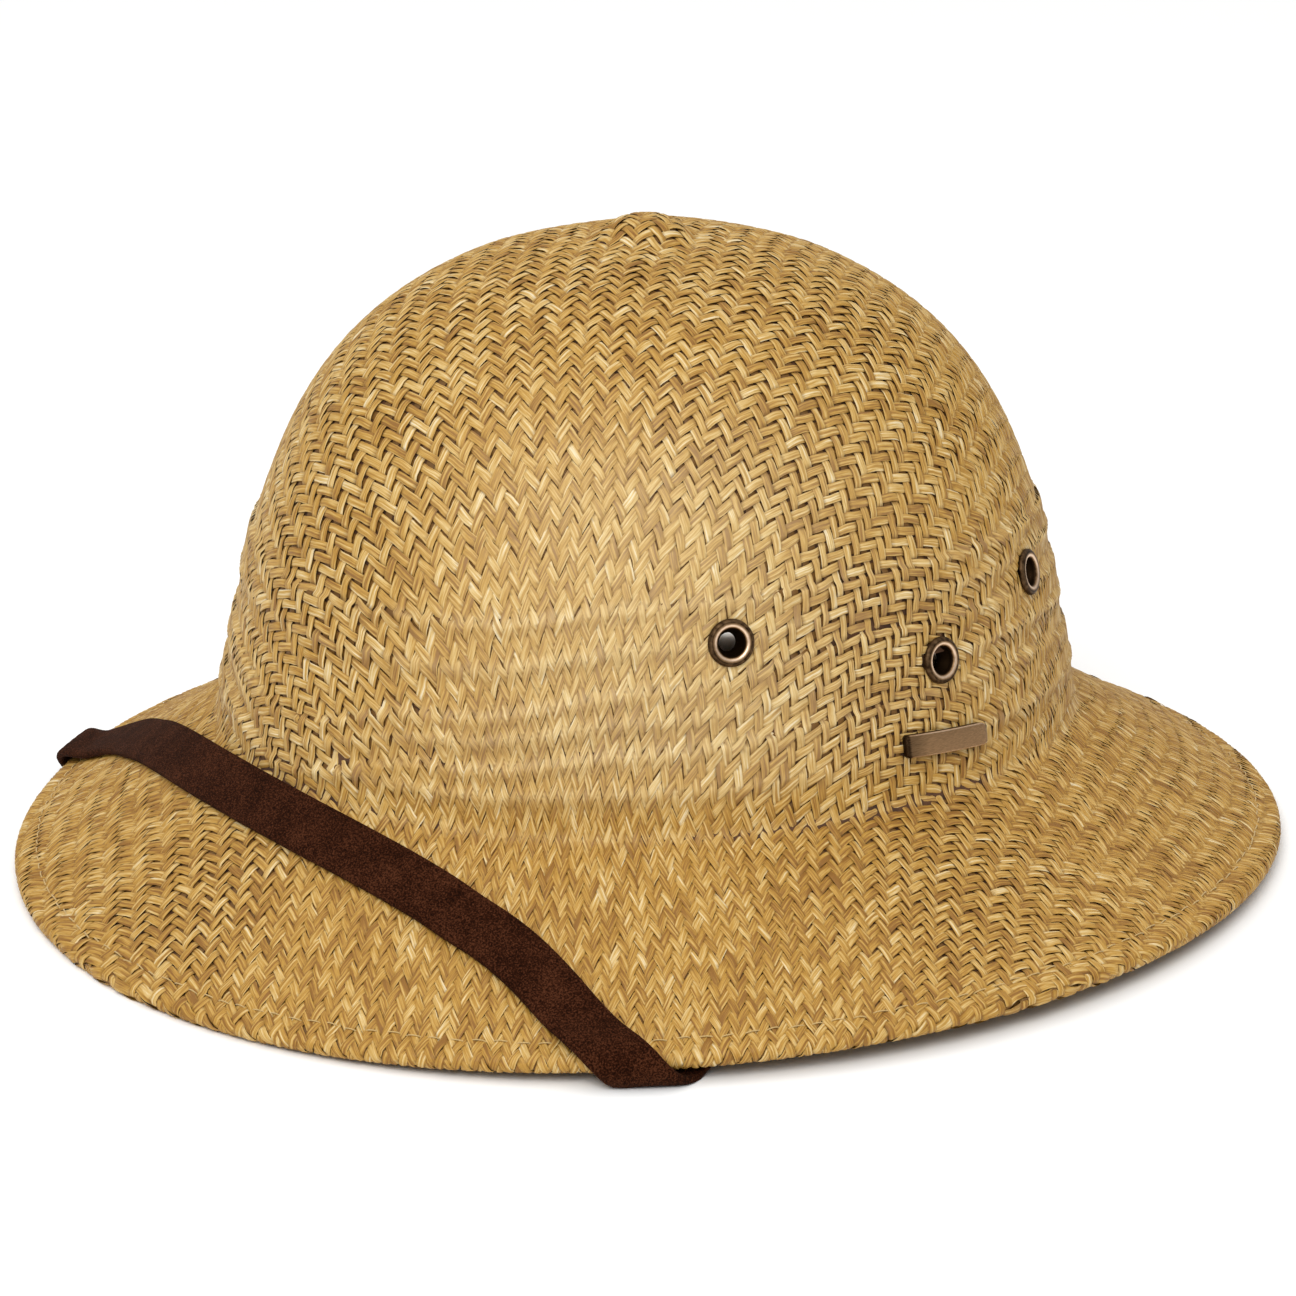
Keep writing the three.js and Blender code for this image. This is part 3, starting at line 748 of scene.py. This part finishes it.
def painted_light_marks(azimuth, height, past_foot):
    """How much the straw is paled by painted sheen on the crown's flanks, painted highlights along pleats
    and creases and a pale line at the crown's foot, and how far it is darkened by painted shade a little
    below its pleats and creases.
    """
    on_crown = past_foot < 0
    rows = PLEATS + CREASES
    pale = 0.45 * crease_lines(azimuth, height, rows, PALE_LINE)
    dark = 0.2 * crease_lines(azimuth, height + DARK_BELOW, rows, DARK_LINE)
    sheen_and_highlight = np.where(on_crown, 0.7 * zone(azimuth, height, *SHEEN_ZONE) + pale, 0)
    return np.clip(sheen_and_highlight + 0.25 * bell(past_foot, 0, PALE_LINE), 0, 1), dark * on_crown


def splints(section, lengthwise, inside, seed):
    """All splints of one direction, outside or inside the hat.

    Gives their points, which stations are usable and which are on the crown, uvs and tones.
    """
    w, h = weave(), hat()
    rng = np.random.default_rng(seed)
    pitch, other, width = w.pitch_lengthwise, w.pitch_crosswise, w.width_lengthwise
    if not lengthwise:
        pitch, other, width = other, pitch, w.width_crosswise
    limit = section.rims.max() + h.hem_thickness * 1.6 + h.hem_depth
    last_line = int(limit / pitch)
    lines = np.arange(-last_line, last_line + 1)
    each = (len(lines), 1)
    along = np.arange(-limit, limit, w.step * (2 if inside else 1))

    def wobble(wavelength, strength):
        return strength * slow_noise(rng, len(lines), along, wavelength * MM)

    stray = wobble(*STRAY_LONG) + wobble(*STRAY_SHORT) + rng.normal(0, STRAY_SPREAD, each)
    side = lines[:, None] * pitch + stray * w.wander
    run = np.broadcast_to(along, side.shape)

    def place(side_offset, run_offset):
        s, r = side + side_offset, run + run_offset
        return settle(s, r) if lengthwise else settle(r, s)

    azimuth, distance = place(0, 0)
    foot, rim = section.foot(azimuth), section.rim(azimuth)
    height = level(section.girth(azimuth, np.minimum(distance, foot)))
    end = rim - INNER_END if inside else rim + h.hem_thickness * 1.25 + h.hem_depth * 0.85
    phase = run / other - (lines[:, None] + (-0.5 if lengthwise else 2.5))
    base = INNER_HEIGHT - h.wall if inside else -OUTER_DEPTH
    spread = 0.4 * MM
    zero = np.zeros_like(azimuth)

    def surface(where, lift=zero):
        return on_shell(section, *where, lift, moulded=not inside)

    centre, normal = surface(place(0, 0), zero + base)
    forward = (surface(place(0, spread))[0] - surface(place(0, -spread))[0]) / (2 * spread)
    sideways = (surface(place(spread, 0))[0] - surface(place(-spread, 0))[0]) / (2 * spread)
    travel = unit(forward)
    across = unit(np.cross(normal, travel))
    across *= np.where((across * sideways).sum(-1, keepdims=True) < 0, -1, 1)
    spacing = (sideways * across).sum(-1) * pitch
    breadth = width * (1 + wobble(*BREADTH_LONG)) * (1 + wobble(*BREADTH_SHORT))
    breadth = breadth * rng.normal(1, BREADTH_SPREAD, each)
    openness = PATCHES * np.sin(side * PATCH_ACROSS) * np.sin(run * PATCH_ALONG) + wobble(*OPENNESS_WAVE)
    # The mat opens where the pressing drew it down over the sides of the head
    openness = openness + 0.1 * zone(azimuth, height, *OPENED_ZONE)
    twist = wobble(*TWIST_WAVE)
    shear = np.abs((unit(sideways) * travel).sum(-1))
    breadth = np.minimum(breadth, spacing * (0.8 - openness + 0.2 * smooth(shear, 0.15, 0.55)))
    # Where the rim is folded, the splints lie nearly edge to edge
    hem = 1 - smooth(rim - distance, h.hem_depth, 2 * h.hem_depth)
    breadth = breadth + (0.97 * spacing - breadth) * hem
    shares = (-1, 0, 1) if inside else (-1, -0.5, 0.5, 1)
    sign = -1 if inside else 1
    # A step straight across a splint also moves along it where the mat is sheared
    slant = (sideways * travel).sum(-1) * pitch / spacing
    stretch = np.linalg.norm(forward, axis=-1)
    rows, dips = [], []
    for share in shares:
        offset = share * breadth / 2
        over = twill(phase - slant * offset / stretch / other)
        cup = w.cup * (abs(share) if inside else max(abs(share) - 0.5, 0) / 0.5) * sign
        lift = over * w.rise - cup + twist * share
        rows.append(centre + across * offset[..., None] + normal * lift[..., None])
        # How far the splint dips under at each lane, later painted as shade in its colour
        dips.append(smooth(-over * sign, -0.2, 1))
    points, holed = open_holes(np.stack(rows, axis=2), SPLINT_HOLE)
    usable = (distance < end) & ~holed.all(axis=2)

    # A splint keeps a tone of its own, and varies a little from one float to the next
    floats = np.floor((phase + 1) / 4).astype(int)
    tones = rng.random((len(lines), floats.max() - floats.min() + 1))
    own = rng.random(each)
    tone = 0.65 * own + 0.35 * np.take_along_axis(tones, floats - floats.min(), axis=1)
    sheen_and_highlight, dark = painted_light_marks(azimuth, height, distance - foot)
    colour = np.ones(points.shape[:3] + (4,))
    colour[..., 0] = tone[..., None]
    # Green is painted shade where a splint dips and below pleats and creases; blue is painted sheen and
    # highlight
    colour[..., 1] = np.minimum(np.stack(dips, axis=2) + dark[..., None], 1)
    colour[..., 2] = sheen_and_highlight[..., None]
    uv = np.zeros(points.shape[:3] + (2,))
    uv[..., 0] = (run + rng.uniform(0, 1, each))[..., None]
    uv[..., 1] = np.asarray(shares)[None, None, :] * width / 2 + lines[:, None, None] * pitch
    return points, usable, distance < foot, uv, colour


def ribbon_piece(name, grid, wanted, material, flip):
    """One mesh of all ribbon faces whose two ends are wanted."""
    points, _, _, uv, colour = grid
    rows = points.shape[2]
    line, place = np.nonzero(wanted[:, :-1] & wanted[:, 1:])
    first = (line * points.shape[1] + place) * rows
    quads = []
    for k in range(rows - 1):
        corners = [first + k, first + rows + k, first + rows + k + 1, first + k + 1]
        quads.append(np.stack(corners[::-1] if flip else corners, axis=-1))
    quads = np.concatenate(quads)
    used, index = np.unique(quads, return_inverse=True)
    seated = seat(points.reshape(-1, 3)[used])
    seated[:, 2] = np.maximum(seated[:, 2], 0)
    return mesh_piece(name, seated, index.reshape(quads.shape), material, uv.reshape(-1, 2)[used],
                      colour.reshape(-1, 4)[used])


def ring_faces(rings, count):
    """Quads between closed rings of points that are numbered one after the other."""
    i, j = np.meshgrid(np.arange(rings - 1), np.arange(count), indexing="ij")
    k = (j + 1) % count
    quads = np.stack([i * count + j, (i + 1) * count + j, (i + 1) * count + k, i * count + k], axis=-1)
    return quads.reshape(-1, 4)


def capped_piece(name, rings, material, tones=None):
    """A bar through rings of seated points, with a face on each end."""
    count = rings.shape[1]
    total = len(rings) * count
    faces = ring_faces(len(rings), count).tolist()
    faces += [list(range(count)), list(range(total - count, total))[::-1]]
    return mesh_piece(name, rings.reshape(-1, 3), faces, material, tones=tones)


class SUNHAT_OT_mat(bpy.types.Operator):
    """Weave the outside of crown and brim from split straw"""
    bl_idname = "sun_hat.mat"
    bl_label = "Woven Mat"

    def execute(self, context):
        section = Section()
        crown = straw_material("straw_split_crown", CROWN_GOLD)
        brim = straw_material("straw_split_brim", BRIM_GOLD)
        for lengthwise, word, seed in ((True, "lengthwise", 11), (False, "crosswise", 12)):
            grid = splints(section, lengthwise, False, seed)
            _, usable, on_crown, _, _ = grid
            # The crown's ribbons run on by one facet, so that they meet the brim's
            reached = on_crown.copy()
            reached[:, :-1] |= on_crown[:, 1:]
            reached[:, 1:] |= on_crown[:, :-1]
            for part, wanted, straw in (("crown", reached, crown), ("brim", ~on_crown, brim)):
                piece = ribbon_piece(f"{part}_weave_{word}", grid, usable & wanted, straw, not lengthwise)
                dress(piece, "shell")
        return {"FINISHED"}


class SUNHAT_OT_inside(bpy.types.Operator):
    """Weave the inside of the crown and the underside of the brim, and fill the wall between"""
    bl_idname = "sun_hat.inside"
    bl_label = "Inside Weave"

    def execute(self, context):
        section = Section()
        h = hat()
        straw = straw_material("straw_split_inside", INSIDE_GOLD)
        for lengthwise, word, seed in ((True, "lengthwise", 21), (False, "crosswise", 22)):
            grid = splints(section, lengthwise, True, seed)
            piece = ribbon_piece("inside_weave_" + word, grid, grid[1], straw, lengthwise)
            dress(piece, "shell")

        azimuths = np.linspace(0, 2 * math.pi, 180, endpoint=False)
        shares = np.linspace(0.004, 1, 50)
        reach = shares[:, None] * (section.rim(azimuths) + h.hem_thickness)[None, :]
        azimuth = np.broadcast_to(azimuths, reach.shape)
        outer = on_shell(section, azimuth, reach, np.full(reach.shape, -CORE_OUTER))[0]
        inner = on_shell(section, azimuth, reach, np.full(reach.shape, -CORE_INNER), moulded=False)[0]
        points, holed = open_holes(np.concatenate([outer, inner[::-1]]), CORE_HOLE)
        faces = ring_faces(len(points), len(azimuths))
        faces = faces[~holed.reshape(-1)[faces].all(axis=1)]
        # The core is coloured dark as painted shade for the gaps between splints
        core = mesh_piece("mat_core", seat(points.reshape(-1, 3)), faces, core_material())
        dress(core, "shell")
        return {"FINISHED"}


def catmull_rom(points, samples):
    """Centripetal curve through points, as evenly spaced samples."""
    points = np.asarray(points, dtype=float)
    padded = np.concatenate([[2 * points[0] - points[1]], points, [2 * points[-1] - points[-2]]])
    dense = []
    t = np.linspace(0, 1, 60, endpoint=False)[:, None]
    for p0, p1, p2, p3 in zip(padded, padded[1:], padded[2:], padded[3:]):
        d0, d1, d2 = (math.sqrt(np.linalg.norm(b - a)) for a, b in ((p0, p1), (p1, p2), (p2, p3)))
        start = ((p1 - p0) / d0 - (p2 - p0) / (d0 + d1) + (p2 - p1) / d1) * d1
        end = ((p2 - p1) / d1 - (p3 - p1) / (d1 + d2) + (p3 - p2) / d2) * d1
        dense.append(p1 + start * t + (3 * (p2 - p1) - 2 * start - end) * t ** 2
                     + (2 * (p1 - p2) + start + end) * t ** 3)
    dense = np.concatenate(dense + [points[-1:]])
    run = run_along(dense)
    even = np.linspace(0, run[-1], samples)
    return np.stack([np.interp(even, run, dense[:, k]) for k in range(dense.shape[1])], axis=-1)


class StrapPath:
    """The strap's middle layer: over the brim, round the rim, under it and up inside the crown."""

    def __init__(self):
        h, t = hat(), trim()
        self.edge = h.hem_thickness / 2
        self.radius = self.edge + t.strap_rim_slack + t.strap_thickness / 2
        self.wrap = math.pi * self.radius
        self.slope = float(np.linalg.norm(skin(0, 1) - skin(0, 2)))

    def reach(self, face, share):
        from_rim = (1 - share) * self.slope - self.edge
        if face == "over":
            return -from_rim
        if face == "under":
            return self.wrap + from_rim
        return self.wrap + self.slope - self.edge + share * hat().crown_height

    def point(self, azimuth, reach, height):
        h, t = hat(), trim()
        side = t.strap_thickness / 2 + t.strap_gap
        lift = side + (t.strap_rim_slack - t.strap_gap) * smooth(reach, *RIM_NEARED) + height
        girth = 2 + (np.minimum(reach, 0) - self.edge) / self.slope
        over = skin(azimuth, girth) + directions(azimuth, girth)[0] * lift[..., None]
        turn = np.clip(reach / self.radius, 0, math.pi)
        rolled = rolled_rim(azimuth, *directions(azimuth, 2.0), self.radius + height, turn)
        past = np.maximum(reach - self.wrap, 0) + self.edge
        hem = 1 - smooth(past, h.hem_depth + self.edge, h.hem_depth + HEM_FADE)
        crease = 1 - smooth(np.abs(past - self.slope), *FOOT_PASSED)
        rest = (t.strap_under_slack - t.strap_gap
                + (t.strap_rim_slack - t.strap_under_slack) * (1 - smooth(past, *RIM_LEFT)))
        depth = h.wall + side + rest + hem * (h.hem_thickness - h.wall) + crease * t.strap_crease_slack
        inner = np.where(past <= self.slope, 2 - past / self.slope, girth_at_height(past - self.slope))
        under = skin(azimuth, inner) - directions(azimuth, inner)[0] * (depth + height)[..., None]
        reach = reach[..., None]
        return np.where(reach < 0, over, np.where(reach <= self.wrap, rolled, under))

    def change(self, azimuth, reach, turn, slide):
        """Change of the middle layer with azimuth, or with reach, taken over a small step."""
        zero = np.zeros_like(azimuth)
        ahead = self.point(azimuth + turn, reach + slide, zero)
        return (ahead - self.point(azimuth - turn, reach - slide, zero)) / (2 * (turn + slide))

    def walk(self, azimuth, reach, travel, distance, steps=5):
        """Azimuth and reach of a lane that lies a distance across the surface from the middle."""
        across = None
        for _ in range(steps):
            by_a = self.change(azimuth, reach, 0.004, 0)
            by_r = self.change(azimuth, reach, 0, 0.4 * MM)
            out = unit(np.cross(by_r, by_a))
            across = np.cross(travel, out) if across is None else across
            across = unit(across - out * (across * out).sum(-1, keepdims=True))
            e, f, g = ((p * q).sum(-1) for p, q in ((by_a, by_a), (by_a, by_r), (by_r, by_r)))
            u = (across * by_a).sum(-1) * distance / steps
            v = (across * by_r).sum(-1) * distance / steps
            azimuth = azimuth + (g * u - f * v) / (e * g - f * f)
            reach = reach + (e * v - f * u) / (e * g - f * f)
        return azimuth, reach


class SUNHAT_OT_strap(bpy.types.Operator):
    """Lay the suede chin strap over the brim and round under it into the crown"""
    bl_idname = "sun_hat.strap"
    bl_label = "Chin Strap"

    def execute(self, context):
        t = trim()
        path = StrapPath()
        # Azimuths are stretched to about their length over the brim while the route is smoothed
        scale = hat().rim_half_width * 0.87
        half = [(azimuth * DEGREE * scale, path.reach(face, share)) for azimuth, face, share in STRAP_ROUTE]
        route = [(-x, y) for x, y in half[:0:-1]] + half
        even = catmull_rom(route, 301)
        azimuth, reach = even[:, 0] / scale, even[:, 1]
        zero = np.zeros_like(reach)
        travel = unit(np.gradient(path.point(azimuth, reach, zero), axis=0))
        under, over = [], []
        half_thick = t.strap_thickness / 2
        for share in STRAP_LANES:
            a, r = path.walk(azimuth, reach, travel, share * t.strap_width / 2)
            drop = STRAP_ROUNDING.get(abs(share), 0)
            under.append(path.point(a, r, zero - half_thick + drop * 0.7))
            over.insert(0, path.point(a, r, zero + half_thick - drop))
        rings = seat(np.stack(under + over, axis=1))
        rings[..., 2] = np.maximum(rings[..., 2], 0)
        strap = capped_piece("strap_suede", rings, suede_material())
        dress(strap, "chin_strap")
        return {"FINISHED"}


def eyelet_section():
    """Radius and height round an eyelet: rolled flange outside, barrel, flat flange inside."""
    h, t = hat(), trim()
    outer = t.gap - 0.05 * MM
    inner = -(h.wall + h.pleat_step / 2 + t.gap + 0.35 * MM)
    middle, half = (t.eyelet_flange + t.eyelet_bore) / 2, (t.eyelet_flange - t.eyelet_bore) / 2
    section = [(middle + half * math.cos(turn), outer + t.eyelet_rise * math.sin(turn) ** 0.8)
               for turn in np.linspace(0, math.pi, 13)]
    section += [(t.eyelet_bore, -0.5 * MM), (t.eyelet_throat, inner * 0.6),
                (t.eyelet_throat, inner - 0.1 * MM)]
    middle, half = (t.eyelet_back + t.eyelet_throat) / 2, (t.eyelet_back - t.eyelet_throat) / 2
    section += [(middle + half * math.cos(turn), inner - 0.2 * MM + 0.5 * MM * math.sin(turn))
                for turn in np.linspace(math.pi, 2 * math.pi, 7)]
    section += [(t.eyelet_back, inner), (t.eyelet_barrel, inner), (t.eyelet_barrel, outer - 0.1 * MM)]
    return np.array(section)


def rub_and_highlight_tones(rub_and_highlight):
    """Point colours that tell the brass how bright it is rubbed, partly as wear and partly as painted
    highlight.
    """
    return np.stack([rub_and_highlight, rub_and_highlight, rub_and_highlight, np.ones_like(rub_and_highlight)], axis=-1).reshape(-1, 4)


class SUNHAT_OT_eyelets(bpy.types.Operator):
    """Set the six brass eyelets in the crown"""
    bl_idname = "sun_hat.eyelets"
    bl_label = "Eyelets"

    def execute(self, context):
        brass = brass_material("brass_antiqued_eyelet")
        section = eyelet_section()
        turns = np.linspace(0, 2 * math.pi, 48, endpoint=False)
        # The crest and inner slope of the rolled flange are rubbed bright, partly as wear and partly as
        # painted highlight of the roll; the rest stays dark
        k = np.arange(len(section))
        tones = rub_and_highlight_tones(np.repeat(0.85 * bell(k, 7.6, 1.6) + 0.12 * (k < 5), len(turns)))
        # The last ring joins the first
        faces = ring_faces(len(section) + 1, len(turns))[:, ::-1] % (len(section) * len(turns))
        names = [(side, name) for name in EYELET_NAMES for side in ("left", "right")]
        for (side, name), (azimuth, girth) in zip(names, eyelet_centres()):
            out, along = directions(azimuth, girth)
            centre = skin(azimuth, girth) + out * hat().pleat_step / 2
            ring = np.cos(turns)[:, None] * along + np.sin(turns)[:, None] * np.cross(out, along)
            points = centre + section[:, 0, None, None] * ring + section[:, 1, None, None] * out
            piece = mesh_piece(f"eyelet_ring_{side}_{name}", seat(points.reshape(-1, 3)), faces, brass,
                               tones=tones)
            dress(piece, f"eyelet_{side}_{name}")
        return {"FINISHED"}


def rounding(distance, radius):
    """How far an outline of rounded corners has drawn in, at a distance from its end."""
    return radius - np.sqrt(np.maximum(radius ** 2 - np.maximum(radius - distance, 0) ** 2, 0))


class SUNHAT_OT_plate(bpy.types.Operator):
    """Fix the bare brass plate low on the wearer's left"""
    bl_idname = "sun_hat.plate"
    bl_label = "Brass Plate"

    def execute(self, context):
        h, t = hat(), trim()
        centre = PLATE_AZIMUTH * DEGREE
        base = 0.7 * h.pleat_step + t.gap
        half_length = t.plate_length / 2
        stations = np.linspace(-half_length, half_length, PLATE_STATIONS)
        pull = rounding(half_length - stations, t.plate_height * 0.36)
        pull = pull + rounding(stations + half_length, PLATE_CORNER)
        half = (t.plate_height / 2 - pull * 0.9)[:, None]
        # Round each station: two corners at the back, then down one bevelled edge and up the other
        turns = np.linspace(0, math.pi / 2, 5)
        inward, down = PLATE_BEVEL * (1 - np.cos(turns)), PLATE_BEVEL * (1 - np.sin(turns))
        top = np.full(half.shape, base + t.plate_thickness)
        top[[0, -1]] -= PLATE_BEVEL
        back = np.full(half.shape, base)
        up = np.hstack([half, -half, inward - half, half - inward[::-1]])
        lift = np.hstack([back, back, top - down, top - down[::-1]])
        azimuth = (centre + stations / np.hypot(*skin(centre, 1.0)[:2]))[:, None]
        height = PLATE_SHARE * h.crown_height + PLATE_CLIMB * stations
        girth = girth_at_height(height[:, None] + up)
        rings = skin(azimuth, girth) + directions(azimuth, girth)[0] * lift[..., None]
        # The face is rubbed more than the sides, and its long edges most, partly as wear and partly as
        # painted highlight on the edges
        rub_and_highlight = np.full(lift.shape, 0.38)
        rub_and_highlight *= 0.55 + 0.45 * smooth(stations + half_length, 0, 0.3 * t.plate_length)[:, None]
        rub_and_highlight[:, [0, 1, 2, -1]] = 0.1
        rub_and_highlight[:, [3, 4, 5, 8, 9, 10]] += 0.3
        rub_and_highlight[:2] = 0.05
        plate = capped_piece("plate_bare", seat(rings), brass_material("brass_brushed_plate", (6, 0.3, 6)),
                             rub_and_highlight_tones(rub_and_highlight))
        dress(plate, "badge_plate")
        return {"FINISHED"}


def tube(points, normals, radius, sides):
    """Rings of a round tube along points."""
    travel = unit(np.gradient(points, axis=0))
    across = unit(np.cross(travel, normals))
    up = np.cross(across, travel)
    turns = np.arange(sides) * 2 * math.pi / sides
    return (points[:, None] + radius * (np.cos(turns)[None, :, None] * across[:, None]
                                        + np.sin(turns)[None, :, None] * up[:, None]))


class SUNHAT_OT_stitches(bpy.types.Operator):
    """Sew the stitches of the rim's hem"""
    bl_idname = "sun_hat.stitches"
    bl_label = "Hem Stitches"

    def execute(self, context):
        h, t = hat(), trim()
        section = Section()
        rng = np.random.default_rng(31)
        around = np.linspace(0, 2 * math.pi, 2001)
        line = on_shell(section, around, section.rim(around) - h.hem_depth, 0 * around)[0]
        run = run_along(line)
        stitch_count = int(run[-1] / t.stitch_pitch)
        lift = -0.3 * MM + 0.62 * MM * np.sin(np.linspace(0, math.pi, STITCH_POINTS)) ** 0.5
        faces = ring_faces(STITCH_POINTS, THREAD_SIDES)
        all_points, all_faces = [], []
        for k in range(stitch_count):
            size = t.stitch_length * rng.uniform(0.85, 1.1)
            spots = run[-1] * k / stitch_count + np.linspace(0, size, STITCH_POINTS)
            a = np.interp(spots, run, around)
            shift, skew = rng.uniform(-0.35, 0.35) * MM, rng.uniform(-0.25, 0.25) * MM
            sway = shift + np.linspace(-1, 1, STITCH_POINTS) * skew
            p, n = on_shell(section, a, section.rim(a) - h.hem_depth + sway, lift)
            all_points.append(tube(p, n, t.thread_radius, THREAD_SIDES).reshape(-1, 3))
            all_faces.append(faces + k * STITCH_POINTS * THREAD_SIDES)
        stitches = mesh_piece("hem_stitches", seat(np.concatenate(all_points)), np.concatenate(all_faces),
                              thread_material())
        dress(stitches, "shell")
        return {"FINISHED"}


def bearing(azimuth, elevation):
    """Unit vector from the hat towards an azimuth and an elevation in degrees."""
    a, e = azimuth * DEGREE, elevation * DEGREE
    return Vector((math.sin(a) * math.cos(e), -math.cos(a) * math.cos(e), math.sin(e)))


class SUNHAT_OT_stage(bpy.types.Operator):
    """Lay the floor, hang the softboxes and place the camera"""
    bl_idname = "sun_hat.stage"
    bl_label = "Stage"

    def execute(self, context):
        scene, h = context.scene, hat()
        corners = np.array([(x * FLOOR_REACH, y * FLOOR_REACH, -FLOOR_DROP)
                            for x, y in ((-1, -1), (1, -1), (1, 1), (-1, 1))])
        floor = mesh_piece("paper_floor", corners, [[0, 1, 2, 3]], paper_material())

        world = bpy.data.worlds.new("studio")
        world.use_nodes = True
        background = world.node_tree.nodes["Background"]
        background.inputs["Color"].default_value = (1, 1, 1, 1)
        background.inputs["Strength"].default_value = STUDIO_STRENGTH
        scene.world = world
        scene.view_settings.view_transform = "Standard"

        for name, azimuth, elevation, distance, size, power in SOFTBOXES:
            towards = bearing(azimuth, elevation)
            data = bpy.data.lights.new(name, "AREA")
            data.shape = "DISK"
            data.size = size
            data.energy = power
            lamp = add_object(name, data)
            lamp.location = Vector(LIGHTS_AIM) + towards * distance
            lamp.rotation_euler = towards.to_track_quat("Z", "Y").to_euler()

        sky = bpy.data.lights.new("ceiling_scrim", "SUN")
        sky.angle = SCRIM_ANGLE * DEGREE
        sky.energy = SCRIM_STRENGTH
        add_object("ceiling_scrim", sky)

        # The view was found in the hat's own frame, so it leans with the hat
        back = bearing(CAMERA_AZIMUTH, CAMERA_ELEVATION)
        right = bearing(CAMERA_AZIMUTH + 90, 0)
        up = back.cross(right)
        roll = CAMERA_ROLL * DEGREE
        axes = Matrix((right * math.cos(roll) + up * math.sin(roll),
                       up * math.cos(roll) - right * math.sin(roll), back))
        turned = Matrix.Rotation(-h.rest_pitch * DEGREE, 3, "X") @ axes.transposed()
        eye = turned.col[2] * CAMERA_DISTANCE + Vector((0, h.rest_shift, h.rest_height))
        data = bpy.data.cameras.new("camera")
        data.sensor_width = CAMERA_SENSOR
        data.lens = CAMERA_LENS
        data.shift_x, data.shift_y = CAMERA_SHIFT
        scene.camera = add_object("camera", data)
        scene.camera.matrix_world = Matrix.Translation(eye) @ turned.to_4x4()
        return {"FINISHED"}


class SUNHAT_PT_panel(bpy.types.Panel):
    """Lists the hat's sizes, colours and pieces"""
    bl_idname = "SUNHAT_PT_panel"
    bl_label = "Sun Hat"
    bl_space_type = "VIEW_3D"
    bl_region_type = "UI"
    bl_category = "Sun Hat"

    def draw(self, context):
        for group in (hat(), weave(), trim(), palette()):
            box = self.layout.box()
            for name in group.bl_rna.properties.keys():
                if name not in ("rna_type", "name"):
                    box.prop(group, name)
        for operator in OPERATORS:
            self.layout.operator(operator.bl_idname)


GROUPS = {"sun_hat": HatSizes, "sun_hat_weave": WeaveSizes, "sun_hat_trim": TrimSizes,
          "sun_hat_colours": HatColours}
OPERATORS = (SUNHAT_OT_stage, SUNHAT_OT_mat, SUNHAT_OT_inside, SUNHAT_OT_stitches, SUNHAT_OT_strap,
             SUNHAT_OT_eyelets, SUNHAT_OT_plate)
CLASSES = (*GROUPS.values(), *OPERATORS, SUNHAT_PT_panel)


def register():
    for cls in CLASSES:
        bpy.utils.register_class(cls)
    for name, group in GROUPS.items():
        setattr(bpy.types.Scene, name, PointerProperty(type=group))


def unregister():
    for name in GROUPS:
        delattr(bpy.types.Scene, name)
    for cls in reversed(CLASSES):
        bpy.utils.unregister_class(cls)


def main():
    register()
    bpy.ops.sun_hat.stage()
    bpy.ops.sun_hat.mat()
    bpy.ops.sun_hat.inside()
    bpy.ops.sun_hat.stitches()
    bpy.ops.sun_hat.strap()
    bpy.ops.sun_hat.eyelets()
    bpy.ops.sun_hat.plate()


if __name__ == "__main__":
    main()
